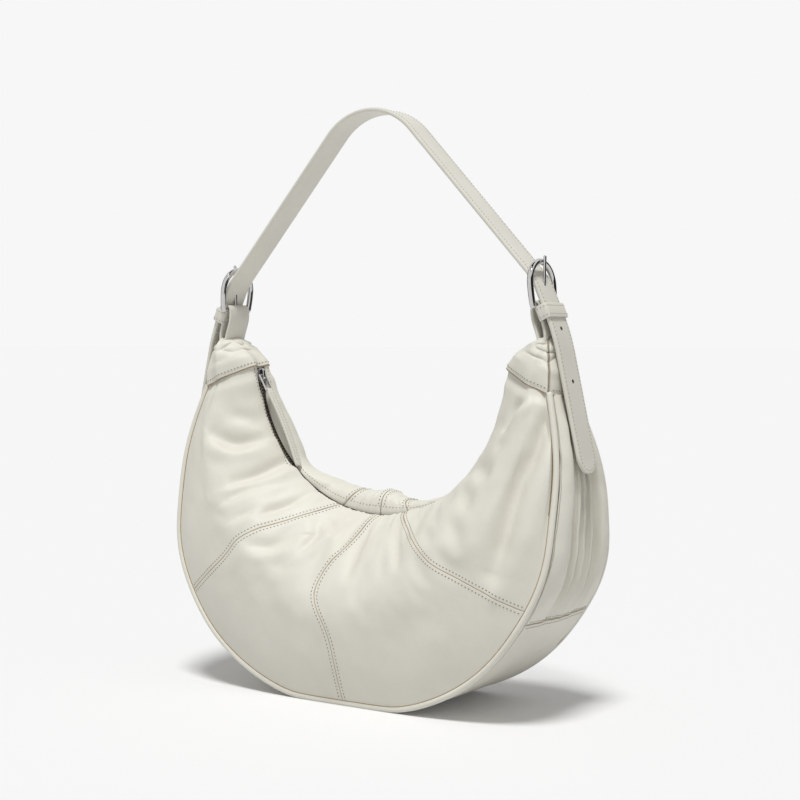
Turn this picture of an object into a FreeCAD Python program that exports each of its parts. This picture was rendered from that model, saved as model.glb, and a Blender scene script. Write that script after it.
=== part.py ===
import FreeCAD, Part
import math
import os
from types import SimpleNamespace

V = FreeCAD.Vector

# Driving sizes in millimetres, angles in degrees: name, value, what it is.
SIZES = (
    ("half_width", 169, "half length over the piping line at the belly"),
    ("belly_height", 131, "height of the widest level of the piping line"),
    ("cap_rise", 104, "outer end of the cap seam above the widest level"),
    ("cap_height", "=belly_height + cap_rise", "height of the outer end of the cap seam"),
    ("cap_inset", 13, "how far the piping line leans in between belly and cap"),
    ("bottom_press", 5, "how far the round bottom is pressed flat by the floor"),
    ("bottom_ease", 2.5, "easing of the flat bottom into the round sides"),
    ("floor_line", 1.2, "piping line above the floor at the flat bottom"),
    ("base_depth", 96, "depth between the piping lines at the bottom"),
    ("cap_depth", 36, "depth between the piping lines at the caps"),
    ("taper_start", 39, "height at which the depth begins to narrow"),
    ("panel_swell", 14, "swell of the panels beyond the piping at the middle"),
    ("gusset_swell", 4, "swell of the gusset sides beyond the piping line"),
    ("gusset_proud", 1.9, "gusset face outside the piping line"),
    ("swell_rise", 100, "height over which the gusset swell grows"),
    ("leather", 2, "thickness of the body leather"),
    ("lining_cloth", 0.7, "thickness of the lining"),
    ("soft_gap", 0.3, "clearance between soft layers"),
    ("piping_radius", 2.3, "radius of the piping"),
    ("seam_reach", 3, "how far the lining stays short of the gusset corner"),
    ("mouth_half", 12.3, "half width of the mouth between the panel edges"),
    ("horn_reach", 49, "zip line inside the widest line of the bag"),
    ("zip_radius", "=half_width - horn_reach", "radius of the zip line in the front view"),
    ("zip_rise", 21, "centre of the zip line above the cap seam"),
    ("zip_centre_height", "=cap_height + zip_rise", "height of the centre of the zip line"),
    ("zip_half_angle", 88, "half angle of the zip line between the caps"),
    ("zip_end_angle", 86.5, "half angle of lips and tapes"),
    ("panel_under", 0.5, "panel edge outer face inside the zip radius"),
    ("lip_inner", 5.6, "half gap between the lips"),
    ("lip_outer", 12.6, "outer edge of each lip"),
    ("lip_lift", 0.9, "lip underside above the zip line"),
    ("lip_thickness", 2, "thickness of each lip"),
    ("tape_inner", 2.9, "inner edge of each zip tape"),
    ("tape_outer", 11.9, "outer edge of each zip tape"),
    ("tape_thickness", 0.8, "thickness of the zip tapes"),
    ("tooth_pitch", 2.6, "pitch of the zip teeth on one side"),
    ("tooth_length", 0.95, "tooth size along the zip"),
    ("tooth_root", 2.8, "tooth root from the centre of the zip"),
    ("tooth_cross", 0.5, "how far a tooth crosses the centre of the zip"),
    ("tooth_height", 2.4, "tooth size across the tape"),
    ("slider_angle", 84.4, "place of the slider on the zip line"),
    ("slider_length", 12, "length of the slider"),
    ("slider_width", 9.6, "width of the slider"),
    ("slider_plate", 1.3, "thickness of the slider plates"),
    ("slider_channel", 3.4, "clear height between the slider plates"),
    ("slider_flange", 0.7, "thickness and height of the slider flanges"),
    ("slider_post", 2.4, "width and length of the slider wedge"),
    ("bridge_width", 2.2, "width of the slider bridge"),
    ("bridge_clear", 2.2, "clear height under the bridge"),
    ("bridge_wall", 1.2, "thickness of the bridge"),
    ("bridge_length", 9.4, "length of the bridge"),
    ("link_wire", 1.5, "wire diameter of the pull link"),
    ("link_width", 8, "width of the pull link between wire centres"),
    ("link_length", 14, "length of the pull link between wire centres"),
    ("link_ahead", 0.5, "pull axis ahead of the slider middle"),
    ("link_clear", 0.45, "link wire clearance above the slider"),
    ("pull_angle", 25, "rest angle of the pull above the zip tangent"),
    ("pull_length", 68, "length of the leather pull beyond the link wire"),
    ("pull_width", 6.2, "width of the leather pull"),
    ("pull_thickness", 2.6, "thickness of the leather pull"),
    ("pull_eye_clear", 0.1, "clearance of the pull round the link wire"),
    ("stop_length", 3, "length of the zip stop"),
    ("stop_half", 2.5, "half width of the zip stop"),
    ("stop_angle", 85.6, "place of the zip stop on the zip line"),
    ("horn_rise", 37.5, "top of the horn caps above the cap seam"),
    ("horn_top", "=cap_height + horn_rise", "height of the top of the horn caps"),
    ("slot_inset", 22, "middle of the cap opening inside the widest line"),
    ("slot_x", "=half_width - slot_inset", "middle of the cap opening"),
    ("slot_half_length", 6, "half length of the cap opening"),
    ("slot_half_width", 13, "half width of the cap opening"),
    ("cap_bulge", 1.6, "swell of the caps between seam and top"),
    ("tab_depth", 5, "depth of the side tab into the horn"),
    ("crest_lift", 1, "cap edge above the zip line at the mouth end"),
    ("strap_width", 25, "width of the strap"),
    ("strap_thickness", 3, "thickness of the strap"),
    ("crown_radius", 57, "radius of the strap crown"),
    ("bend_in", 2.38, "bend of the strap end inside the buckle bar"),
    ("bend_rise", 19.75, "bend of the strap end above the buckle bar"),
    ("bend_first", 16, "first run of the strap end inside the buckle"),
    ("bend_second", 42, "second run of the strap end through the keeper"),
    ("bend_tilt", 24.1, "tilt of the second run from the upright"),
    ("bend_join", 0.3, "gap between strap and strap end"),
    ("prong_slot_length", 14, "length of the prong hole in the strap end"),
    ("prong_slot_width", 3.6, "width of the prong hole"),
    ("prong_slot_place", 6.9, "middle of the prong hole below the bend in the buckle"),
    ("tail_length", 102, "length of the strap tail from its bend to its tip"),
    ("tail_tilt", 12.5, "tilt of the strap tail from the upright"),
    ("tail_clear", 0.3, "gap between strap end and tail"),
    ("hole_radius", 1.5, "radius of the strap holes"),
    ("hole_upper", 39.3, "upper strap hole along the second run"),
    ("hole_lower", 36, "lower strap hole below the bend of the tail"),
    ("chape_width", 23.6, "width of the chape"),
    ("chape_thickness", 2.2, "thickness of the chape leather"),
    ("chape_slot", 5, "width of the prong slot in the chape"),
    ("chape_depth", 8, "depth of the sewn-in ends of the chape in the cap"),
    ("chape_end", "=horn_top - chape_depth", "height of the sewn-in ends of the chape"),
    ("chape_spread", 2.15, "half spread of the chape legs at their ends"),
    ("chape_shift", 0.65, "middle of the chape ends outside the middle of the cap opening"),
    ("knee_out", 4.5, "bend of the outer chape leg outside the middle of the cap opening"),
    ("knee_rise", 4.5, "that bend above the top of the caps"),
    ("bow_in", 8.4, "bend of the inner chape leg inside the middle of the cap opening"),
    ("bow_rise", 12.5, "that bend above the top of the caps"),
    ("bar_inset", 4.5, "buckle bar inside the middle of the cap opening"),
    ("bar_x", "=slot_x - bar_inset", "buckle bar from the middle"),
    ("bar_rise", 24, "buckle bar above the top of the caps"),
    ("bar_height", "=horn_top + bar_rise", "height of the buckle bars"),
    ("strap_rise", 150.5, "crown of the strap middle line above the buckle bars"),
    ("bar_radius", 1.75, "radius of the buckle bar"),
    ("bar_clear", 0.2, "clearance of chape and prong on the bar"),
    ("bar_fit", 0.05, "clearance of the bar in the frame"),
    ("bar_half", 15.5, "half length of the buckle bar"),
    ("frame_half", 16.9, "half width of the buckle frame at the wire centre"),
    ("frame_wire", 2.3, "radius of the buckle frame section"),
    ("frame_sweep", 70, "radius of the frame legs as they draw in to the bar"),
    ("frame_clear", 0.71, "room between the strap end and the frame beside it"),
    ("frame_lean", 5, "lean of the buckle frame towards the middle"),
    ("prong_ring", 3.1, "outer radius of the prong eye"),
    ("prong_eye_width", 3.4, "width of the prong eye"),
    ("prong_radius", 1.2, "radius of the prong"),
    ("prong_over", 3, "prong tip beyond the frame crown"),
    ("prong_rest_gap", 0.25, "gap between prong and frame crown"),
    ("keeper_height", 14, "height of the keeper loop"),
    ("keeper_wall", 1.6, "wall of the keeper loop"),
    ("keeper_place", 29, "middle of the keeper along the second run"),
    ("keeper_inner", 7.6, "keeper opening inside the strap middle line"),
    ("keeper_outer", 1.9, "keeper opening outside the strap middle line"),
    ("keeper_side", 0.4, "keeper clearance beside the strap"),
    ("keeper_round", 1.2, "rounding of the keeper corners"),
    ("chape_slack", 0.3, "clearance of the chape in the cap opening"),
    ("cut_reach", 400, "reach of the tools that trim a piece"),
    ("overrun", 1, "reach of a hole beyond the faces it opens"),
)

LOWER_SHARE = 0.69
FAN_SHARES = (0.43, 0.57)
SEAM_SHARE = 0.5
TAPER_POWER = 1.6
PROFILE_SHARES = (0, 0.33, 0.71, 0.89, 1)
BELLY_SHARE, SHOULDER_SHARE, CREST_SHARE = 0.40, 0.80, 0.965
SHOULDER_DEPTH_SHARE, CREST_DEPTH_SHARE = 0.96, 0.45
HORN_SWELL_SHARE = 0.7
GUSSET_SHARES = (0, 0.25, 0.5, 0.75, 1)
PIPING_SHARE = 0.985
WAY_SHARE = 0.0025
SECTIONS_PER_PIECE = 6

doc = FreeCAD.newDocument("half_moon_bag")
sheet = doc.addObject("Spreadsheet::Sheet", "sizes")
for row, (name, value, note) in enumerate(SIZES, start=1):
    sheet.set("A%d" % row, note)
    sheet.set("B%d" % row, str(value))
    sheet.setAlias("B%d" % row, name)
doc.recompute()
s = SimpleNamespace(**{name: float(sheet.get(name)) for name, value, note in SIZES})

NODES = []
LEFT_RIGHT = V(1, 0, 0)
FRONT_BACK = V(0, 1, 0)


def keep(obj, label):
    """Name an object of the document and list it as a sub-part."""
    obj.Label = label
    NODES.append(obj)
    return obj


def bind(obj, **cells):
    """Bind properties of an object to cells of the sheet."""
    for prop, expression in cells.items():
        obj.setExpression(prop, expression)
    return obj


def shaped(label, shape):
    """Sub-part whose lofted shape no primitive gives."""
    obj = doc.addObject("Part::Feature", label)
    obj.Shape = shape
    return keep(obj, label)


def mirrored(label, source, normal):
    obj = doc.addObject("Part::Mirroring", label)
    obj.Source = source
    obj.Normal = normal
    return keep(obj, label)


def tilted(x, z, degrees):
    """Place at a point of the middle plane, turned about the depth axis."""
    return FreeCAD.Placement(V(x, 0, z), FreeCAD.Rotation(FRONT_BACK, degrees))


def box(name, place, length, width, height, x, y, z):
    """Box in the frame of a place; its corner and its sizes are sheet expressions."""
    obj = doc.addObject("Part::Box", name)
    bind(obj, Length=length, Width=width, Height=height)
    corner = V(*(float(sheet_value(text)) for text in (x, y, z)))
    obj.Placement = place * FreeCAD.Placement(corner, FreeCAD.Rotation())
    return obj


def sheet_value(text):
    """Value of an expression in cells of the sheet."""
    value = sheet.evalExpression(text.replace("sizes.", ""))
    return getattr(value, "Value", value)


def rod(name, place, radius, height, angle=None):
    """Cylinder along the z axis of a place."""
    obj = doc.addObject("Part::Cylinder", name)
    bind(obj, Radius=radius, Height=height)
    if angle:
        bind(obj, Angle=angle)
    obj.Placement = place
    return obj


def fused(name, pieces):
    obj = doc.addObject("Part::MultiFuse", name)
    obj.Shapes = pieces
    obj.Refine = True
    return obj


def cut(name, base, tool):
    obj = doc.addObject("Part::Cut", name)
    obj.Base = base
    obj.Tool = tool
    return obj


def padded(name, edges, width):
    """Body with one sketch in the front plane, padded evenly to both sides."""
    body = doc.addObject("PartDesign::Body", name)
    plane = next(f for f in body.Origin.OriginFeatures if f.Role == "XZ_Plane")
    sketch = body.newObject("Sketcher::SketchObject", name + "_sketch")
    sketch.AttachmentSupport = [(plane, "")]
    sketch.MapMode = "FlatFace"
    sketch.addGeometry(edges, False)
    doc.recompute()
    pad = body.newObject("PartDesign::Pad", name + "_pad")
    pad.Profile = sketch
    pad.SideType = "Symmetric"
    bind(pad, Length=width)
    body.Tip = pad
    return body


def line(a, b):
    return Part.LineSegment(V(a[0], a[1], 0), V(b[0], b[1], 0))


def arc(a, b, c):
    return Part.Arc(*(V(p[0], p[1], 0) for p in (a, b, c)))


# Crescent sections: along runs from -1 at the left cap to 1 at the right cap.

def outer_point(along):
    """Point of the piping line in the front view."""
    reach = abs(along)
    if reach <= LOWER_SHARE:
        turn = math.pi / 2 * reach / LOWER_SHARE
        x = s.half_width * math.sin(turn)
        z = (s.belly_height + s.bottom_press) * (1 - math.cos(turn)) - s.bottom_press
    else:
        rise = (reach - LOWER_SHARE) / (1 - LOWER_SHARE)
        x = s.half_width - s.cap_inset * rise ** 2
        z = s.belly_height + (s.cap_height - s.belly_height) * rise
    z = s.floor_line + (z + math.hypot(z, s.bottom_ease)) / 2
    return math.copysign(x, along), z


def half_depth(along):
    """Distance of the piping line from the middle plane."""
    rise = (outer_point(along)[1] - s.taper_start) / (s.cap_height - s.taper_start)
    rise = min(max(rise, 0), 1)
    return (s.base_depth + (s.cap_depth - s.base_depth) * rise ** TAPER_POWER) / 2


def zip_point(along):
    """Point of the panel edge at the mouth in the front view."""
    turn = math.radians(s.zip_half_angle) * (FAN_SHARES[0] * along + FAN_SHARES[1] * along ** 3)
    radius = s.zip_radius - s.panel_under
    return radius * math.sin(turn), s.zip_centre_height - radius * math.cos(turn)


def section_axes(along):
    """Start, direction and length of the line from piping to mouth."""
    outer = V(outer_point(along)[0], 0, outer_point(along)[1])
    inner = V(zip_point(along)[0], 0, zip_point(along)[1])
    span = inner.sub(outer)
    return outer, span / span.Length, span.Length


def in_section(along, reach, y):
    """Point of a section: reach from the piping line towards the mouth, and depth."""
    start, way, length = section_axes(along)
    return V(start.x + way.x * reach, y, start.z + way.z * reach)


def piping_way(along):
    """Direction of the front piping line."""
    low, high = max(along - WAY_SHARE, -1), min(along + WAY_SHARE, 1)
    ends = [V(outer_point(b)[0], -half_depth(b), outer_point(b)[1]) for b in (low, high)]
    return ends[1].sub(ends[0]).normalize()


def corner_reach(along):
    """Start of the panel in a section, clear of the piping."""
    lean = piping_way(along).cross(section_axes(along)[1]).Length
    return (s.piping_radius + s.soft_gap) / lean


def panel_rows(along):
    """Outer face of the front panel in a section, from piping to mouth."""
    length = section_axes(along)[2]
    depth = half_depth(along)
    swell = s.panel_swell * (1 - HORN_SWELL_SHARE * along ** 2)
    crest = s.mouth_half + CREST_DEPTH_SHARE * (depth - s.mouth_half)
    return (
        (corner_reach(along), -depth - s.leather / 2),
        (BELLY_SHARE * length, -depth - swell),
        (SHOULDER_SHARE * length, -SHOULDER_DEPTH_SHARE * depth),
        (CREST_SHARE * length, -crest),
        (length, -s.mouth_half),
    )


def gusset_rows(along, short):
    """Outer face of the gusset in a section, from front to back."""
    half = half_depth(along) - s.piping_radius - s.soft_gap - short
    grow = min(max(outer_point(along)[1] / s.swell_rise, 0), 1)
    rows = []
    for share in GUSSET_SHARES:
        across = 2 * share - 1
        swell = s.gusset_swell * grow ** 2 * (1 - across ** 2)
        rows.append((-s.gusset_proud - swell, half * across))
    return tuple(rows)


def spline(points, shares):
    curve = Part.BSplineCurve()
    curve.interpolate(Points=points, Parameters=list(shares))
    return curve


def strip_wire(along, rows, shares, start, thickness):
    """Closed section of a soft layer that lies start below the face given by rows."""
    flat = spline([V(reach, y, 0) for reach, y in rows], shares)
    faces = []
    for offset in (start, start + thickness):
        points = []
        for share, (reach, y) in zip(shares, rows):
            way = flat.tangent(share)[0]
            inward = V(-way.y, way.x, 0) * offset
            points.append(in_section(along, reach + inward.x, y + inward.y))
        faces.append(points)
    near, far = faces
    return Part.Wire([
        spline(near, shares).toShape(),
        Part.makeLine(near[-1], far[-1]),
        spline(far, shares).toShape(),
        Part.makeLine(far[0], near[0]),
    ])


def stations(first, last, count):
    return [first + (last - first) * k / (count - 1) for k in range(count)]


def panel_piece(first, last, count, start, thickness):
    wires = [strip_wire(a, panel_rows(a), PROFILE_SHARES, start, thickness)
             for a in stations(first, last, count)]
    return Part.makeLoft(wires, True)


def gusset_piece(first, last, count, short, start, thickness, ruled=False):
    """The gusset faces run the other way round, so the layer is laid with the rows reversed."""
    wires = [strip_wire(a, gusset_rows(a, short)[::-1], GUSSET_SHARES, start, thickness)
             for a in stations(first, last, count)]
    return Part.makeLoft(wires, True, ruled)


def piping_piece(count):
    """Round piping along the front corner line."""
    wires = []
    for a in stations(-PIPING_SHARE, PIPING_SHARE, count):
        way = piping_way(a)
        side = section_axes(a)[1]
        side = side.sub(way * side.dot(way)).normalize()
        across = way.cross(side)
        middle = in_section(a, 0, -half_depth(a))
        ring = [middle.add(v * s.piping_radius)
                for v in (side, across, side * -1, across * -1)]
        wires.append(Part.Wire([
            Part.Arc(ring[0], ring[1], ring[2]).toShape(),
            Part.Arc(ring[2], ring[3], ring[0]).toShape(),
        ]))
    return Part.makeLoft(wires, True)


floor_tool = Part.makeBox(2 * s.cut_reach, 2 * s.cut_reach, s.cut_reach,
                          V(-s.cut_reach, -s.cut_reach, -s.cut_reach))

side_count = SECTIONS_PER_PIECE
whole_count = 4 * (SECTIONS_PER_PIECE - 1) + 1
left_panel = shaped("front_panel_left", panel_piece(-1, -SEAM_SHARE, side_count, 0, s.leather))
lower_panel = shaped("front_panel_lower_left", panel_piece(-SEAM_SHARE, 0, side_count, 0, s.leather))
right_panel = mirrored("front_panel_right", left_panel, LEFT_RIGHT)
lower_right_panel = mirrored("front_panel_lower_right", lower_panel, LEFT_RIGHT)
mirrored("back_panel_left", left_panel, FRONT_BACK)
mirrored("back_panel_lower_left", lower_panel, FRONT_BACK)
mirrored("back_panel_right", right_panel, FRONT_BACK)
mirrored("back_panel_lower_right", lower_right_panel, FRONT_BACK)

front_piping = shaped("front_piping", piping_piece(whole_count).cut(floor_tool))
mirrored("back_piping", front_piping, FRONT_BACK)

shaped("gusset_bottom",
       gusset_piece(-SEAM_SHARE, SEAM_SHARE, 2 * side_count + 1, 0, 0, s.leather).cut(floor_tool))
gusset_side = shaped("gusset_right", gusset_piece(SEAM_SHARE, 1, side_count, 0, 0, s.leather))
mirrored("gusset_left", gusset_side, LEFT_RIGHT)

lining_start = s.leather + 2 * s.soft_gap
front_lining = shaped("lining_front", panel_piece(-1, 1, whole_count, lining_start, s.lining_cloth))
mirrored("lining_back", front_lining, FRONT_BACK)
lining_layer = (s.seam_reach, lining_start, s.lining_cloth, True)
shaped("lining_bottom", gusset_piece(-SEAM_SHARE, SEAM_SHARE, whole_count, *lining_layer))
lining_side = shaped("lining_right", gusset_piece(SEAM_SHARE, 1, 2 * side_count, *lining_layer))
mirrored("lining_left", lining_side, LEFT_RIGHT)


# Horn caps: a leather tube from the cap seam to the opening that holds the chape.

def horn_points(level, inset):
    """Closed loop of the right horn; level runs from 0 at the seam to 1 at the top."""
    start, way, length = section_axes(1)
    rise = V(-way.z, 0, way.x) * -1
    front = list(gusset_rows(1, 0)[2:0:-1]) + [(-s.gusset_proud / 2, -half_depth(1) - s.leather / 2)]
    front += list(panel_rows(1)[1:])
    loop = front + [(length + s.crest_lift, 0)]
    loop += [(reach, -y) for reach, y in front[:0:-1]]
    middle = length / 2
    centre_low = in_section(1, middle, 0)
    centre_high = V(s.slot_x, 0, s.horn_top)
    half = (s.slot_half_length + s.leather, s.slot_half_width + s.leather)
    centre = centre_low * (1 - level) + centre_high * level
    swell = s.cap_bulge * math.sin(math.pi * min(max(level, 0), 1))
    points = []
    for reach, y in loop:
        low = in_section(1, reach, y).add(rise * s.soft_gap)
        turn = math.atan2(y / half_depth(1), (reach - middle) / middle)
        high = centre_high.add(V(-half[0] * math.cos(turn), half[1] * math.sin(turn), 0))
        point = low * (1 - level) + high * level
        out = point.sub(centre).normalize()
        points.append(point.add(out * (swell - inset)))
    return points


def horn_tube(levels, inset):
    wires = []
    for level in levels:
        curve = Part.BSplineCurve()
        curve.interpolate(Points=horn_points(level, inset), PeriodicFlag=True)
        wires.append(Part.Wire([curve.toShape()]))
    return Part.makeLoft(wires, True)


HORN_LEVEL_SHARES = (0, 0.33, 0.67, 1)
HORN_OVERRUN_SHARE = 0.06
inner_levels = (-HORN_OVERRUN_SHARE,) + HORN_LEVEL_SHARES[1:-1] + (1 + HORN_OVERRUN_SHARE,)
opening = Part.makeBox(2 * s.slot_half_length - 2 * s.chape_slack, s.chape_width + 2 * s.chape_slack,
                       s.horn_top - s.chape_end + 2 * s.overrun,
                       V(s.slot_x - s.slot_half_length + s.chape_slack,
                         -s.chape_width / 2 - s.chape_slack, s.chape_end - s.overrun))
horn = horn_tube(HORN_LEVEL_SHARES, 0).cut(horn_tube(inner_levels, s.leather)).cut(opening)
tab_line = [in_section(1, s.tab_depth, -s.cut_reach),
            V(s.slot_x + s.slot_half_length, -s.cut_reach, s.horn_top)]
fall = tab_line[1].sub(tab_line[0]).normalize() * s.cut_reach
corners = [tab_line[0].sub(fall), tab_line[1].add(fall)]
corners += [corners[1].add(V(s.cut_reach, 0, 0)), corners[0].add(V(s.cut_reach, 0, 0))]
tab_tool = Part.Face(Part.makePolygon(corners + corners[:1])).extrude(V(0, 2 * s.cut_reach, 0))
right_cap = shaped("right_horn_cap", horn.cut(tab_tool))
right_tab = shaped("right_horn_side_tab", horn.common(tab_tool))
mirrored("left_horn_cap", right_cap, LEFT_RIGHT)
mirrored("left_horn_side_tab", right_tab, LEFT_RIGHT)


# Zip: lips, tapes and teeth on a circle about an axis across the bag.

def zip_frame(degrees):
    """Frame on the zip line: x along the zip to the right, z towards the circle's centre."""
    turn = math.radians(degrees)
    return tilted(s.zip_radius * math.sin(turn), s.zip_centre_height - s.zip_radius * math.cos(turn),
                  -degrees)


def zip_band(name, inner, outer, near, width):
    """Part of a ring about the zip centre, in front of the middle plane."""
    spin = FreeCAD.Rotation(V(1, 0, 0), 90) * FreeCAD.Rotation(V(0, 0, 1), 270 - s.zip_end_angle)
    place = FreeCAD.Placement(V(0, -near, s.zip_centre_height), spin)
    wide = rod(name + "_wide", place, outer, width, "2 * sizes.zip_end_angle")
    core = rod(name + "_core", place, inner, width, "2 * sizes.zip_end_angle")
    return cut(name, wide, core)


front_lip = keep(zip_band("front_lip", "sizes.zip_radius - sizes.lip_lift - sizes.lip_thickness",
                          "sizes.zip_radius - sizes.lip_lift", s.lip_inner,
                          "sizes.lip_outer - sizes.lip_inner"), "front_lip")
mirrored("back_lip", front_lip, FRONT_BACK)
front_tape = keep(zip_band("front_zip_tape", "sizes.zip_radius - sizes.tape_thickness / 2",
                           "sizes.zip_radius + sizes.tape_thickness / 2", s.tape_inner,
                           "sizes.tape_outer - sizes.tape_inner"), "front_zip_tape")
mirrored("back_zip_tape", front_tape, FRONT_BACK)


def zip_teeth(phase, side):
    """Row of teeth on one tape, from the slider to the zip stop."""
    step = math.degrees(s.tooth_pitch / s.zip_radius)
    lead = math.degrees((s.slider_length / 2 - s.bridge_wall - 2 * s.slider_post) / s.zip_radius)
    end = s.stop_angle - math.degrees((s.stop_length + s.tooth_pitch) / s.zip_radius)
    turn = -s.slider_angle - lead + phase * step
    teeth = []
    while turn < end:
        low = -s.tooth_root if side < 0 else -s.tooth_cross
        tooth = Part.makeBox(s.tooth_length, s.tooth_root + s.tooth_cross, s.tooth_height,
                             V(-s.tooth_length / 2, low, -s.tooth_height / 2))
        tooth.Placement = zip_frame(turn) * tooth.Placement
        teeth.append(tooth)
        turn += step
    return Part.makeCompound(teeth)


HALF_PITCH_SHARE = 0.5
shaped("front_zip_teeth", zip_teeth(0, -1))
shaped("back_zip_teeth", zip_teeth(HALF_PITCH_SHARE, 1))
keep(box("zip_stop", zip_frame(s.stop_angle), "sizes.stop_length", "2 * sizes.stop_half",
         "sizes.tooth_height", "-sizes.stop_length / 2", "-sizes.stop_half", "-sizes.tooth_height / 2"),
     "zip_stop")

slider_place = zip_frame(-s.slider_angle)
channel = "sizes.slider_channel / 2"
plates = [
    box("slider_plate_" + word, slider_place, "sizes.slider_length", "sizes.slider_width",
        "sizes.slider_plate", "-sizes.slider_length / 2", "-sizes.slider_width / 2", low)
    for word, low in (("top", channel), ("under", "-%s - sizes.slider_plate" % channel))
]
flanges = [
    box("slider_flange_%s_%s" % (word, side), slider_place, "sizes.slider_length", "sizes.slider_flange",
        "sizes.slider_flange", "-sizes.slider_length / 2", beside, low)
    for word, low in (("top", channel + " - sizes.slider_flange"), ("under", "-" + channel))
    for side, beside in (("front", "-sizes.slider_width / 2"),
                         ("back", "sizes.slider_width / 2 - sizes.slider_flange"))
]
wedge = box("slider_wedge", slider_place, "sizes.slider_post", "sizes.slider_post", "sizes.slider_channel",
            "-sizes.slider_length / 2 + sizes.bridge_wall", "-sizes.slider_post / 2", "-" + channel)
bridge_base = channel + " + sizes.slider_plate"
bridge_feet = [
    box("bridge_foot_" + word, slider_place, "sizes.bridge_wall", "sizes.bridge_width",
        "sizes.bridge_clear", x, "-sizes.bridge_width / 2", bridge_base)
    for word, x in (("near", "-sizes.bridge_length / 2"),
                    ("far", "sizes.bridge_length / 2 - sizes.bridge_wall"))
]
bridge_top = box("bridge_top", slider_place, "sizes.bridge_length", "sizes.bridge_width",
                 "sizes.bridge_wall", "-sizes.bridge_length / 2", "-sizes.bridge_width / 2",
                 bridge_base + " + sizes.bridge_clear")
keep(fused("zip_slider", plates + flanges + [wedge] + bridge_feet + [bridge_top]), "zip_slider")

pull_pivot = V(s.link_ahead, 0, s.slider_channel / 2 + s.slider_plate + s.link_clear + s.link_wire / 2)
pull_place = (slider_place * FreeCAD.Placement(pull_pivot, FreeCAD.Rotation())
              * FreeCAD.Placement(V(0, 0, 0), FreeCAD.Rotation(FRONT_BACK, -s.pull_angle)))
along_link = FreeCAD.Rotation(FRONT_BACK, 90)
across_link = FreeCAD.Rotation(V(1, 0, 0), -90)
wire = "sizes.link_wire / 2"
link_pieces = []
for side in (-1, 1):
    foot = FreeCAD.Placement(V(0, side * s.link_width / 2, 0), along_link)
    link_pieces.append(rod("link_side", pull_place * foot, wire, "sizes.link_length"))
for reach in (0, s.link_length):
    foot = FreeCAD.Placement(V(reach, -s.link_width / 2, 0), across_link)
    link_pieces.append(rod("link_end", pull_place * foot, wire, "sizes.link_width"))
    for side in (-1, 1):
        ball = doc.addObject("Part::Sphere", "link_corner")
        bind(ball, Radius=wire)
        ball.Placement = pull_place * FreeCAD.Placement(V(reach, side * s.link_width / 2, 0),
                                                        FreeCAD.Rotation())
        link_pieces.append(ball)
keep(fused("pull_link", link_pieces), "pull_link")

eye = doc.addObject("Part::Cylinder", "pull_eye")
bind(eye, Radius="sizes.link_wire / 2 + sizes.pull_eye_clear", Height="2 * sizes.pull_width")
eye.Placement = pull_place * FreeCAD.Placement(V(s.link_length, -s.pull_width, 0), across_link)
fold_place = pull_place * FreeCAD.Placement(V(s.link_length, -s.pull_width / 2, 0), across_link)
fold = rod("pull_fold", fold_place, "sizes.pull_thickness / 2 + sizes.pull_eye_clear", "sizes.pull_width")
blade = box("pull_blade", pull_place, "sizes.pull_length", "sizes.pull_width", "sizes.pull_thickness",
            "sizes.link_length", "-sizes.pull_width / 2", "-sizes.pull_thickness / 2")
keep(cut("leather_pull", fused("pull_body", [fold, blade]), eye), "leather_pull")


# Strap: a crown between two straight legs, an end through each buckle and a hanging tail.

bar = (s.bar_x, s.bar_height)
bend_knee = (bar[0] - s.bend_in, bar[1] + s.bend_rise)
crown_centre = (0, s.bar_height + s.strap_rise - s.crown_radius)
crown_fall = crown_centre[1] - bend_knee[1]
crown_away = math.hypot(bend_knee[0], crown_fall)
lean = math.atan2(crown_fall, bend_knee[0]) + math.asin(s.crown_radius / crown_away)
leg_length = math.sqrt(crown_away ** 2 - s.crown_radius ** 2) - s.bend_first
leg_way = (math.cos(lean), -math.sin(lean))
leg_out = (math.sin(lean), math.cos(lean))
half_strap = s.strap_thickness / 2


def moved(point, way, length):
    return point[0] + way[0] * length, point[1] + way[1] * length


def flipped(point):
    return -point[0], point[1]


def strap_side(offset):
    """Corner points of one face of the strap: crown top, end of the crown, end of the leg."""
    radius = s.crown_radius + offset
    top = moved(crown_centre, (0, 1), radius)
    shoulder = moved(crown_centre, leg_out, radius)
    return top, shoulder, moved(shoulder, leg_way, leg_length)


edges = []
for offset in (half_strap, -half_strap):
    top, shoulder, end = strap_side(offset)
    edges.append(arc(flipped(shoulder), top, shoulder))
    edges.append(line(shoulder, end))
    edges.append(line(flipped(shoulder), flipped(end)))
outer_end, inner_end = strap_side(half_strap)[2], strap_side(-half_strap)[2]
edges.append(line(outer_end, inner_end))
edges.append(line(flipped(outer_end), flipped(inner_end)))
keep(padded("strap", edges, "sizes.strap_width"), "strap")

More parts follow.
